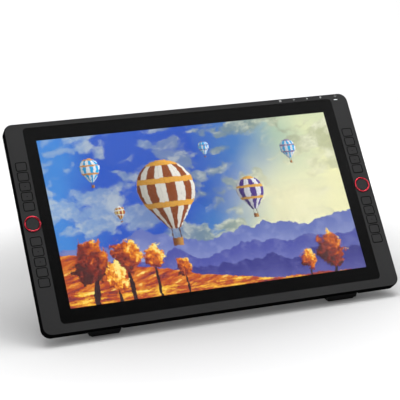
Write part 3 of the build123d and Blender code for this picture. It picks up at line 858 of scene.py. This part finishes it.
def skin(form: Form, rings: Sequence[tuple[Sequence[Point], float]], hoop: bool = False) -> None:
    """Adds a closed form through rings that have as many points each.

    Args:
        form: The form.
        rings: Each ring's outline and its height.
        hoop: Whether the last ring meets the first. Otherwise both ends are capped.
    """
    loops = [[form.verts.new((x, y, z)) for x, y in outline] for outline, z in rings]
    if hoop:
        loops.append(loops[0])
    else:
        form.faces.new(loops[0][::-1])
        form.faces.new(loops[-1])
    for first, second in zip(loops, loops[1:]):
        for this in range(len(first)):
            after = (this + 1) % len(first)
            form.faces.new((first[this], first[after], second[after], second[this]))


def mesh_of(form: Form, matrix: Matrix, name: str) -> Mesh:
    """Ends a form as a mesh.

    Args:
        form: The form.
        matrix: What moves it to its frame.
        name: The mesh's name.

    Returns:
        The mesh.
    """
    form.transform(matrix)
    mesh = bpy.data.meshes.new(name)
    form.to_mesh(mesh)
    form.free()
    return mesh


def finished(mesh: Mesh, name: str) -> Piece:
    """Links a mesh as a piece, merged, facing outwards and smooth up to an angle.

    Args:
        mesh: The mesh, in the model's frame.
        name: The piece's name.

    Returns:
        The piece.
    """
    piece = bpy.data.objects.new(name, mesh)
    bpy.context.scene.collection.objects.link(piece)
    form = bmesh.new()
    form.from_mesh(mesh)
    bmesh.ops.remove_doubles(form, verts=form.verts, dist=MERGE_DISTANCE)
    bmesh.ops.recalc_face_normals(form, faces=form.faces)
    limit = math.radians(SMOOTH_ANGLE)
    for face in form.faces:
        face.smooth = True
    for edge in form.edges:
        edge.smooth = not (len(edge.link_faces) == 2 and edge.calc_face_angle(0.0) > limit)
    form.to_mesh(mesh)
    form.free()
    return piece


def settle(piece: Piece, body: Body, slot: str) -> None:
    """Puts a piece on its body and logs its slot.

    Args:
        piece: The piece.
        body: The body that it rides on.
        slot: The record's material slot.
    """
    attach(piece, body.value)
    faces = len(piece.data.polygons)
    LOG.info("%s rides on %s, slot %s, %d faces", piece.name, body.value, slot, faces)


@dataclass(frozen=True)
class Row:
    """A straight row of equal parts, in the display's frame."""

    count: int
    start: Triple
    step: Triple


class Growth(Wiring):
    """A Geometry Nodes tree with named inputs, made into a plain mesh."""

    def __init__(self, name: str) -> None:
        """Starts a tree.

        Args:
            name: The tree's name.
        """
        super().__init__(bpy.data.node_groups.new(name, "GeometryNodeTree"))
        for way in ("INPUT", "OUTPUT"):
            self.tree.interface.new_socket("Geometry", in_out=way, socket_type="NodeSocketGeometry")
        self.entry = self.add("NodeGroupInput")
        self.exit = self.add("NodeGroupOutput")
        self.values: dict[str, object] = {}

    def size(self, name: str, value: object, kind: str = "Float") -> Socket:
        """Adds a named input.

        Args:
            name: The input's name.
            value: Its value.
            kind: Its kind, in the words of a socket type.

        Returns:
            The input, inside the tree.
        """
        made = self.tree.interface.new_socket(name, in_out="INPUT", socket_type=f"NodeSocket{kind}")
        self.values[made.identifier] = value
        return self.entry.outputs[name]

    def rows(self, rows: Sequence[Row]) -> Socket:
        """Copies the starting mesh along straight rows.

        Args:
            rows: The rows.

        Returns:
            The copies.
        """
        joined = self.add("GeometryNodeJoinGeometry")
        for number, row in enumerate(rows, 1):
            line = self.add(
                "GeometryNodeMeshLine",
                Count=self.size(f"Row {number} count", row.count, "Int"),
                Start_Location=self.size(f"Row {number} start", row.start, "Vector"),
                Offset=self.size(f"Row {number} step", row.step, "Vector"),
            )
            self.feed(joined.inputs[0], line.outputs[0])
        part = self.entry.outputs["Geometry"]
        return self.add("GeometryNodeInstanceOnPoints", joined.outputs[0], Instance=part).outputs[0]

    def grow(self, geometry: Socket, material: Material, name: str, start: Mesh) -> Mesh:
        """Ends the tree and turns its result into a plain mesh.

        Args:
            geometry: What the tree has made.
            material: The finish that it sets.
            name: The new mesh's name.
            start: The mesh that the tree starts from.

        Returns:
            The mesh.
        """
        real = self.add("GeometryNodeRealizeInstances", geometry)
        dressed = self.add("GeometryNodeSetMaterial", real.outputs[0], Material=material)
        self.feed(self.exit.inputs[0], dressed.outputs[0])
        holder = bpy.data.objects.new(name, start)
        bpy.context.scene.collection.objects.link(holder)
        modifier = holder.modifiers.new(name, "NODES")
        modifier.node_group = self.tree
        for identifier, value in self.values.items():
            modifier[identifier] = value
        graph = bpy.context.evaluated_depsgraph_get()
        graph.update()
        made = bpy.data.meshes.new_from_object(holder.evaluated_get(graph), depsgraph=graph)
        holder.modifiers.remove(modifier)
        bpy.data.objects.remove(holder)
        return made


@dataclass
class Assembly:
    """What the scene's own sub-assemblies share: the face, the finishes and two ways to build."""

    face: Face
    finishes: dict[str, Material]

    def make(
        self,
        name: str,
        form: Form,
        slot: str,
        finish: str,
        at: Triple = (0.0, 0.0, 0.0),
        body: Body = Body.DISPLAY,
        scale: float = 1.0,
    ) -> None:
        """Makes a piece of a form.

        Args:
            name: The piece's name.
            form: The form, in millimetres.
            slot: The record's material slot.
            finish: The finish's name.
            at: Where its zero lies in the display's frame.
            body: The body that it rides on.
            scale: How much larger it becomes.
        """
        matrix = self.face.matrix @ Matrix.Translation(at) @ Matrix.Scale(scale, 4)
        mesh = mesh_of(form, matrix, name)
        mesh.materials.append(self.finishes[finish])
        settle(finished(mesh, name), body, slot)

    def repeat(self, name: str, form: Form, rows: Sequence[Row], slot: str, finish: str) -> Piece:
        """Makes a piece of equal parts in rows.

        Args:
            name: The piece's name.
            form: One part, about zero.
            rows: Where the parts stand.
            slot: The record's material slot.
            finish: The finish's name.

        Returns:
            The piece.
        """
        growth = Growth(f"{name}_tree")
        start = mesh_of(form, Matrix.Identity(4), f"{name}_start")
        mesh = growth.grow(growth.rows(rows), self.finishes[finish], name, start)
        mesh.transform(self.face.matrix)
        piece = finished(mesh, name)
        settle(piece, Body.DISPLAY, slot)
        return piece


@dataclass
class Dials(Assembly):
    """The polished rings round the two dial knobs, and the black seats that hold them."""

    bore: float = 10.25
    outside: float = 12.4
    seat_bore: float = 9.65
    seat_outside: float = 12.75
    seat_high: float = 0.25
    low: float = -0.6
    high: float = 1.5
    edge_radius: float = 0.95
    edge_points: int = 8
    ring_points: int = 160
    seat_points: int = 96

    def build(self) -> None:
        """Makes both rings and both seats."""
        for side in Side:
            self.ring(side)
            self.seat(side)

    def ring(self, side: Side) -> None:
        """One polished ring, a soft-edged section turned round the knob.

        Args:
            side: The side that it is on.
        """
        growth = Growth(f"ring_{side.word}_tree")
        middle = growth.size("Middle radius", (self.bore + self.outside) / 2)
        width = growth.size("Width", self.outside - self.bore)
        height = growth.size("Height", self.high - self.low)
        corner = growth.size("Edge radius", self.edge_radius)
        round_points = growth.size("Points round the ring", self.ring_points, "Int")
        edge_points = growth.size("Points on an edge", self.edge_points, "Int")
        kind = "GeometryNodeCurvePrimitive"
        turn = growth.add(f"{kind}Circle", Resolution=round_points, Radius=middle)
        section = growth.add(f"{kind}Quadrilateral", Width=width, Height=height)
        soft = growth.add(
            "GeometryNodeFilletCurve",
            section.outputs[0],
            settings={"mode": "POLY"},
            Count=edge_points,
            Radius=corner,
            Limit_Radius=True,
        )
        hoop = growth.add("GeometryNodeCurveToMesh", turn.outputs[0], soft.outputs[0])
        smooth = growth.add("GeometryNodeSetShadeSmooth", hoop.outputs[0])
        name = f"dial_ring_polished_{side.word}"
        start = bpy.data.meshes.new(f"ring_{side.word}_start")
        mesh = growth.grow(smooth.outputs[0], self.finishes["ring_red"], name, start)
        place = (side.value * DIAL_X, DIAL_Y, (self.low + self.high) / 2)
        mesh.transform(self.face.matrix @ Matrix.Translation(place))
        piece = finished(mesh, name)
        settle(piece, Body(f"dial_{side.word}"), "ring_red")
        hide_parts(f"dial_ring_{side.word}")

    def seat(self, side: Side) -> None:
        """The black seat that holds a ring from inside and outside.

        Args:
            side: The side that it is on.
        """
        form = bmesh.new()
        for inner, outer in ((self.seat_bore, self.bore), (self.outside, self.seat_outside)):
            near, far = (circle(radius, steps=self.seat_points) for radius in (inner, outer))
            low, high = self.low, self.seat_high
            skin(form, ((near, low), (near, high), (far, high), (far, low)), hoop=True)
        name, place = f"dial_ring_seat_{side.word}", (side.value * DIAL_X, DIAL_Y, 0.0)
        # Dead black seat: partly the ring's carrier, partly painted shade in the gaps round the
        # ring.
        self.make(name, form, "housing_black", "seat_black", place, Body(f"dial_{side.word}"))


@dataclass
class KeyRims(Assembly):
    """Thin black rims in the key gaps and round them, a dark piece that stands for the gaps' shade.
    """

    first_offset: float = 27.7
    pitch: float = 16.09
    count: int = 5
    width: float = 15.3
    height: float = 12.3
    corner: float = 2.0
    corner_steps: int = 5
    clear: float = 0.08
    well: float = 0.44
    lip: float = 1.15
    depth: float = 0.8
    proud: float = 0.03

    def outline(self, margin: float) -> list[Point]:
        """The key's outline, widened by a margin."""
        sizes = (self.width + 2 * margin, self.height + 2 * margin, self.corner + margin)
        return rounded(*sizes, self.corner_steps)

    def build(self) -> None:
        """Makes all the rims."""
        lip, inner, well = (self.outline(margin) for margin in (self.lip, self.clear, self.well))
        form = bmesh.new()
        over = ((lip, 0.0), (lip, self.proud), (inner, self.proud))
        skin(form, (*over, (inner, -self.depth), (well, -self.depth), (well, 0.0)), hoop=True)
        rows = []
        for side in Side:
            for way in (-1, 1):
                start = (side.value * DIAL_X, DIAL_Y + way * self.first_offset, 0.0)
                rows.append(Row(self.count, start, (0.0, way * self.pitch, 0.0)))
        # Painted shade: dead black rims put in the gaps and just round each key.
        self.repeat("key_well_rims", form, rows, "rubber_black", "seat_black")


@dataclass
class RearDetails(Assembly):
    """What the back shows close up: cover screws, the sockets' tongues and the notch linings."""

    screw_side_x: float = 251.0
    screw_side_pitch: float = 120.0
    screw_top_y: float = 154.5
    screw_top_pitch: float = 130.0
    screw_low_y: float = -147.5
    screw_low_x: float = 90.0
    screw_seat: float = -17.0
    screw_lobe: float = 0.18
    screw_rings: tuple[Point, ...] = (
        (1.1, 9.5),
        (1.5, 9.1),
        (1.5, 0.0),
        (3.0, 0.0),
        (3.0, -1.25),
        (2.8, -1.62),
        (2.4, -1.8),
    )
    recess_rings: tuple[Point, ...] = ((1.35, -1.8), (1.30, -0.7))
    board_back: float = -24.6
    bay_top: float = -62.0
    tongue_side: float = 2.25
    tongue_near: float = 1.95
    tongue_far: float = 0.85
    tongue_spare: float = 0.05
    notch_side: float = 161.7
    notch_lining: float = 2.7
    notch_y: Point = (-166.8, -151.2)
    notch_depth: Point = (-14.4, -8.5)

    def build(self) -> None:
        """Makes all the rear's pieces."""
        self.screws()
        self.tongues()
        self.linings()

    def screws(self) -> None:
        """The cover screws, each with a six-lobed recess."""
        form = bmesh.new()
        shapes = [(circle(radius), z) for radius, z in self.screw_rings]
        shapes += [(circle(radius, self.screw_lobe), z) for radius, z in self.recess_rings]
        skin(form, [(outline, self.screw_seat + z) for outline, z in shapes])
        foot = GLASS_MIDDLE_Y - self.screw_side_pitch
        up, across = (0.0, self.screw_side_pitch, 0.0), (self.screw_top_pitch, 0.0, 0.0)
        low = self.screw_low_x
        rows = [
            Row(3, (-self.screw_side_x, foot, 0.0), up),
            Row(3, (self.screw_side_x, foot, 0.0), up),
            Row(3, (-self.screw_top_pitch, self.screw_top_y, 0.0), across),
            Row(2, (-low, self.screw_low_y, 0.0), (2 * low, 0.0, 0.0)),
        ]
        piece = self.repeat("cover_screws_recessed", form, rows, "dark_steel", "dark_steel")
        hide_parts("cover_screws")

    def tongues(self) -> None:
        """The black contact carriers inside the sockets."""
        form = bmesh.new()
        for x, width, height, length, thick in (
            (-16.0, 15.0, 6.0, 12.0, 1.2),
            (7.0, 9.4, 3.6, 8.5, 0.7),
            (26.0, 14.4, 7.0, 14.0, 1.2),
            (45.0, 14.4, 7.0, 14.0, 1.2),
        ):
            half = width / 2 - self.tongue_side
            ends = (self.bay_top + self.tongue_near, self.bay_top + length - self.tongue_far)
            outline = oblong((x - half, x + half), ends)
            middle, thin = self.board_back - height / 2, thick / 2 + self.tongue_spare
            skin(form, ((outline, middle - thin), (outline, middle + thin)))
        self.make("socket_tongues", form, "socket_black", "socket_black")

    def linings(self) -> None:
        """The black blocks that line the inner end of each hinge notch."""
        form = bmesh.new()
        edges = (self.notch_side, self.notch_side + self.notch_lining)
        for side in Side:
            outline = oblong(tuple(side.value * edge for edge in edges), self.notch_y)
            skin(form, [(outline, z) for z in self.notch_depth])
        self.make("notch_linings", form, "socket_black", "seat_black")


@dataclass
class PrintedMarks(Assembly):
    """The printed signs above the top buttons, and the black print behind the glass."""

    row_y: float = 163.4
    size: float = 1.15
    ink: float = 0.03
    stroke: float = 0.25
    arm: float = 1.3
    round_steps: int = 28
    glass_width: float = 511.6
    glass_height: float = 310.6
    glass_corner: float = 6.5
    glass_back: float = -2.2
    lit_corner: float = 0.2
    border_ink: float = 0.05

    def build(self) -> None:
        """Makes all the prints."""
        for x, name, draw, finish in (
            (168.7, "menu", self.menu, "mark_ink"),
            (192.4, "minus", self.minus, "mark_ink"),
            (215.9, "plus", self.plus, "mark_ink"),
            (239.5, "brightness", self.brightness, "mark_ink"),
            (265.9, "power", self.power, "mark_ink_dim"),
        ):
            form = bmesh.new()
            draw(form)
            place = (x, self.row_y, 0.0)
            self.make(f"print_{name}", form, "light_white", finish, place, scale=self.size)
        self.border()

    def sign(self, form: Form, outline: Sequence[Point]) -> None:
        """Adds one stroke of ink."""
        skin(form, ((outline, 0.0), (outline, self.ink)))

    def ring(self, form: Form, outer: float, inner: float, start: float, end: float) -> None:
        """Adds a round stroke.

        Args:
            form: The form.
            outer: Its outer radius.
            inner: Its inner radius.
            start: Where it starts, in degrees.
            end: Where it ends.
        """
        turn = (end - start) / self.round_steps
        angles = [math.radians(start + turn * number) for number in range(self.round_steps + 1)]
        rays = [(math.cos(angle), math.sin(angle)) for angle in angles]
        for first, second in zip(rays, rays[1:]):
            corners = ((inner, first), (outer, first), (outer, second), (inner, second))
            self.sign(form, [(far * x, far * y) for far, (x, y) in corners])

    def menu(self, form: Form) -> None:
        """Three lines."""
        for y in (-1.3, -0.25, 0.8):
            self.sign(form, oblong((-1.7, 1.7), (y, y + 0.55)))

    def minus(self, form: Form) -> None:
        """A short line."""
        self.sign(form, oblong((-self.arm, self.arm), (-0.36, 0.36)))

    def plus(self, form: Form) -> None:
        """A cross of two lines.

        Args:
            form: The form.
        """
        thick = (-self.stroke, self.stroke)
        self.sign(form, oblong((-self.arm, self.arm), thick))
        self.sign(form, oblong(thick, (self.stroke, self.arm)))
        self.sign(form, oblong(thick, (-self.arm, -self.stroke)))

    def brightness(self, form: Form) -> None:
        """A disc with rays.

        Args:
            form: The form.
        """
        self.ring(form, 0.95, 0.02, 0.0, 360.0)
        for number in range(8):
            turn = Matrix.Rotation(math.radians(45 * number), 2)
            ray = [turn @ Vector(corner) for corner in oblong((1.25, 1.9), (-0.16, 0.16))]
            self.sign(form, [tuple(corner) for corner in ray])

    def power(self, form: Form) -> None:
        """An open ring with a line in its gap."""
        self.ring(form, 1.6, 1.2, 125.0, 415.0)
        self.sign(form, oblong((-0.2, 0.2), (0.5, 1.9)))

    def border(self) -> None:
        """The black print round the lit picture, on the back of the glass."""
        form = bmesh.new()
        outer = rounded(self.glass_width, self.glass_height, self.glass_corner)
        inner = rounded(LIT_WIDTH, LIT_HEIGHT, self.lit_corner)
        low, high = self.glass_back, self.glass_back + self.border_ink
        skin(form, ((outer, low), (outer, high), (inner, high), (inner, low)), hoop=True)
        place = (0.0, GLASS_MIDDLE_Y, 0.0)
        self.make("glass_border_print", form, "housing_black", "border_print", place)


@dataclass(frozen=True)
class Lamp:
    """One soft area lamp of the studio."""

    name: str
    place: Triple
    size: Point
    power: float


@dataclass
class Studio:
    """The pale floor, the soft lights and the camera."""

    eye: Triple = (-0.7200, -1.9315, 0.8453)
    view: Triple = (0.3302, 0.8882, -0.3195)
    lens: float = 127.16
    aim: Triple = (0.0, 0.0, 0.12)
    lamps: tuple[Lamp, ...] = (
        Lamp("overhead", (0.25, 0.9, 2.2), (2.4, 1.4), 62.0),
        Lamp("left_fill", (-2.4, -0.6, 1.3), (1.6, 1.6), 10.0),
        Lamp("right_fill", (2.2, -0.7, 1.9), (1.4, 1.4), 21.0),
    )
    floor_radius: float = 14.0
    floor_middle: float = 0.10
    floor_narrow: float = 0.7746
    floor_near: Point = (0.20, 0.50)
    # Painted shadow: the floor's greys, darkest round the object.
    floor_greys: tuple[Point, ...] = (
        (0.0, 0.40),
        (0.2, 0.47),
        (0.33, 0.54),
        (0.47, 0.60),
        (0.6, 0.65),
        (0.8, 0.72),
        (1.0, 0.9),
    )
    floor_behind: Point = (0.35, 0.75)
    behind_grey: Colour = (0.62, 0.62, 0.62)
    # Painted light: glow that lifts the floor's shadows near the object.
    near_glow: tuple[Point, Point] = ((0.40, 0.9), (0.06, 0.5))
    far_glow: tuple[Point, Point] = ((0.95, 3.85), (0.05, 1.03))
    world_greys: tuple[Point, ...] = ((0.215, 0.04), (0.30, 0.27), (0.75, 0.85))
    world_blue: float = 1.01
    sensor: float = 36.0
    farthest: float = 60.0

    def build(self) -> None:
        """Sets up the whole studio."""
        bpy.context.scene.view_settings.view_transform = "Standard"
        self.camera()
        self.floor()
        self.world()
        for lamp in self.lamps:
            data = bpy.data.lights.new(lamp.name, "AREA")
            data.shape = "RECTANGLE"
            data.size, data.size_y = lamp.size
            data.energy = lamp.power
            self.stand(lamp.name, data, lamp.place, Vector(self.aim) - Vector(lamp.place))

    def stand(
        self, name: str, data: bpy.types.ID, place: Triple, view: Vector
    ) -> bpy.types.Object:
        """Stands a lamp or the camera in the scene.

        Args:
            name: Its name.
            data: What it holds.
            place: Where it stands.
            view: Where it looks.

        Returns:
            The object.
        """
        holder = bpy.data.objects.new(name, data)
        holder.location = place
        holder.rotation_euler = view.to_track_quat("-Z", "Y").to_euler()
        bpy.context.scene.collection.objects.link(holder)
        return holder

    def camera(self) -> None:
        """The camera, at the photograph's viewing angle."""
        data = bpy.data.cameras.new("view")
        data.lens = self.lens
        data.sensor_width = self.sensor
        data.dof.use_dof = False
        data.clip_end = self.farthest
        bpy.context.scene.camera = self.stand("view", data, self.eye, Vector(self.view))

    def floor(self) -> None:
        """A wide round floor: painted shade round the object, shining where it lies behind."""
        form = bmesh.new()
        bmesh.ops.create_circle(form, cap_ends=True, segments=96, radius=self.floor_radius)
        piece = bpy.data.objects.new("floor", mesh_of(form, Matrix.Identity(4), "floor"))
        bpy.context.scene.collection.objects.link(piece)
        sheet = Sheet("floor_paper")
        x, y, _ = sheet.split(sheet.place)
        away = reach(x * self.floor_narrow, y - self.floor_middle)
        greys = [(place, (grey, grey, grey)) for place, grey in self.floor_greys]
        near = away.spread(*self.floor_near).ramp(greys)
        behind = y.step(*self.floor_behind)
        (near_ends, near_to), (far_ends, far_to) = self.near_glow, self.far_glow
        # Painted light over the shadows near the object, and glow on the floor behind.
        near_glow = away.spread(*near_ends, near_to) * (1.0 - behind)
        far_glow = y.spread(*far_ends, far_to) * behind
        sheet.set(
            Base_Color=sheet.mix(behind, near, self.behind_grey),
            Roughness=0.9,
            Specular_IOR_Level=0.1,
            Emission_Color=(1.0, 1.0, 1.0),
            Emission_Strength=near_glow + far_glow,
        )
        piece.data.materials.append(sheet.material)

    def world(self) -> None:
        """Soft light from all round, darker above the front."""
        world = bpy.data.worlds.new("studio")
        world.use_nodes = True
        bpy.context.scene.world = world
        sky = Wiring(world.node_tree)
        back = next(n for n in sky.tree.nodes if n.type == "BACKGROUND")
        _, y, _ = sky.split(sky.value("ShaderNodeTexCoord", "Generated"))
        greys = [(place, (grey, grey, self.world_blue * grey)) for place, grey in self.world_greys]
        sky.feed(back.inputs["Color"], y.maths("MULTIPLY_ADD", 0.5, 0.5).ramp(greys))


@dataclass
class PenDisplay:
    """The whole pen display, dressed node by node."""

    face: Face
    nodes: dict[str, Piece]
    slots: dict[str, str]
    finishes: dict[str, Material] = field(default_factory=dict)

    def mix_finishes(self) -> None:
        """Builds one material for each slot, and those of the scene's own pieces."""
        face, polished, coarse = self.face, Grain.POLISHED, Grain.COARSE
        grey, key_grey = (0.0355, 0.0355, 0.0360), (0.0350, 0.0350, 0.0355)
        back = {"face": face, "layer": (-60.0, -14.6), "sheen": 0.4}
        recipes = (
            # Painted shade on the bezel: black down its sides, in the key wells and in a band round
            # its edge.
            FaceSkin("face_plastic", grey, 0.6, face=face, front=(283.7, 165.8, 12.7)),
            # Painted shade on the keys: black down their sides as gap outlines; the raised dots are
            # black too.
            FaceSkin("key_plastic", key_grey, 0.58, face=face, layer=(-0.02, 0.34)),
            # Painted shade on the rear cover: black down its sides, while the back keeps its
            # charcoal and sheen.
            FaceSkin("housing_black", (0.019, 0.019, 0.0195), 0.62, **back),
            Moulded("knob_plastic", grey, 0.55, specular=0.12),
            Moulded("button_black", (0.012, 0.012, 0.0125), 0.4, polished, 0.35),
            # Dead black, no sheen: the painted shade of the key rims and dial seats; also the notch
            # linings.
            Moulded("seat_black", (0.0008, 0.0008, 0.0008), 0.7, polished, 0.0),
            Moulded("tray_grey", (0.5, 0.5, 0.5), 0.5, polished),
            Moulded("stand_metal", (0.0032, 0.0032, 0.0034), 0.58, coarse, 0.2),
            Moulded("rubber_black", (0.0028, 0.0028, 0.0028), 0.8, coarse, 0.15),
            Moulded("rubber_grey", (0.16, 0.16, 0.165), 0.65, coarse, 0.2),
            Moulded("socket_black", (0.008, 0.008, 0.009), 0.3, polished),
            Moulded("border_print", (0.0016, 0.0016, 0.0017), 0.6, polished, 0.05),
            EtchedGlass("screen_glass", (0.97, 0.985, 0.98), 0.09),
            LitPicture("lit_panel", (0.004, 0.004, 0.005), 0.4, face),
            CircuitBoard("board_dark", (0.012, 0.03, 0.022), 0.34),
            CircuitBoard("board_green", (0.012, 0.11, 0.04), 0.34),
            Metal("plate_steel", (0.55, 0.56, 0.57), 0.34),
            Metal("dark_steel", (0.05, 0.05, 0.054), 0.42),
            Metal("bright_steel", (0.62, 0.62, 0.62), 0.28),
            Metal("brass", (0.70, 0.50, 0.20), 0.3),
            Anodised("ring_red", (0.70, 0.003, 0.034), 0.18),
            Print("light_white", (0.95, 0.97, 1.0), 0.3, glow=0.8),
            Print("mark_ink", (0.66, 0.66, 0.66), 0.5),
            Print("mark_ink_dim", (0.54, 0.54, 0.54), 0.5),
        )
        self.finishes = {recipe.name: recipe.dress() for recipe in recipes}

    def finish_of(self, name: str) -> str:
        """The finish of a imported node: its slot's, but for the dial knobs and the top buttons.

        Args:
            name: The node's name.

        Returns:
            The finish's name.
        """
        if name.startswith("dial_knob"):
            return "knob_plastic"
        return "button_black" if name.startswith("button_") else self.slots[name]

    def dress_nodes(self) -> None:
        """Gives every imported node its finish."""
        for name, node in sorted(self.nodes.items()):
            node.data.materials.clear()
            node.data.materials.append(self.finishes[self.finish_of(name)])

    def build(self) -> None:
        """Dresses the nodes and adds the scene's own pieces."""
        self.mix_finishes()
        self.dress_nodes()
        for kind in (Dials, KeyRims, RearDetails, PrintedMarks):
            kind(self.face, self.finishes).build()


def main() -> None:
    """Builds the studio and the dressed pen display."""
    logging.basicConfig(level=logging.INFO, format="%(name)s: %(message)s")
    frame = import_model()
    Studio().build()
    slots = {part["node"]: part["material_slot"] for part in frame["record"]["subparts"]}
    PenDisplay(Face.read(frame["joints"]), frame["nodes"], slots).build()
    bpy.context.view_layer.update()


if __name__ == "__main__":
    main()
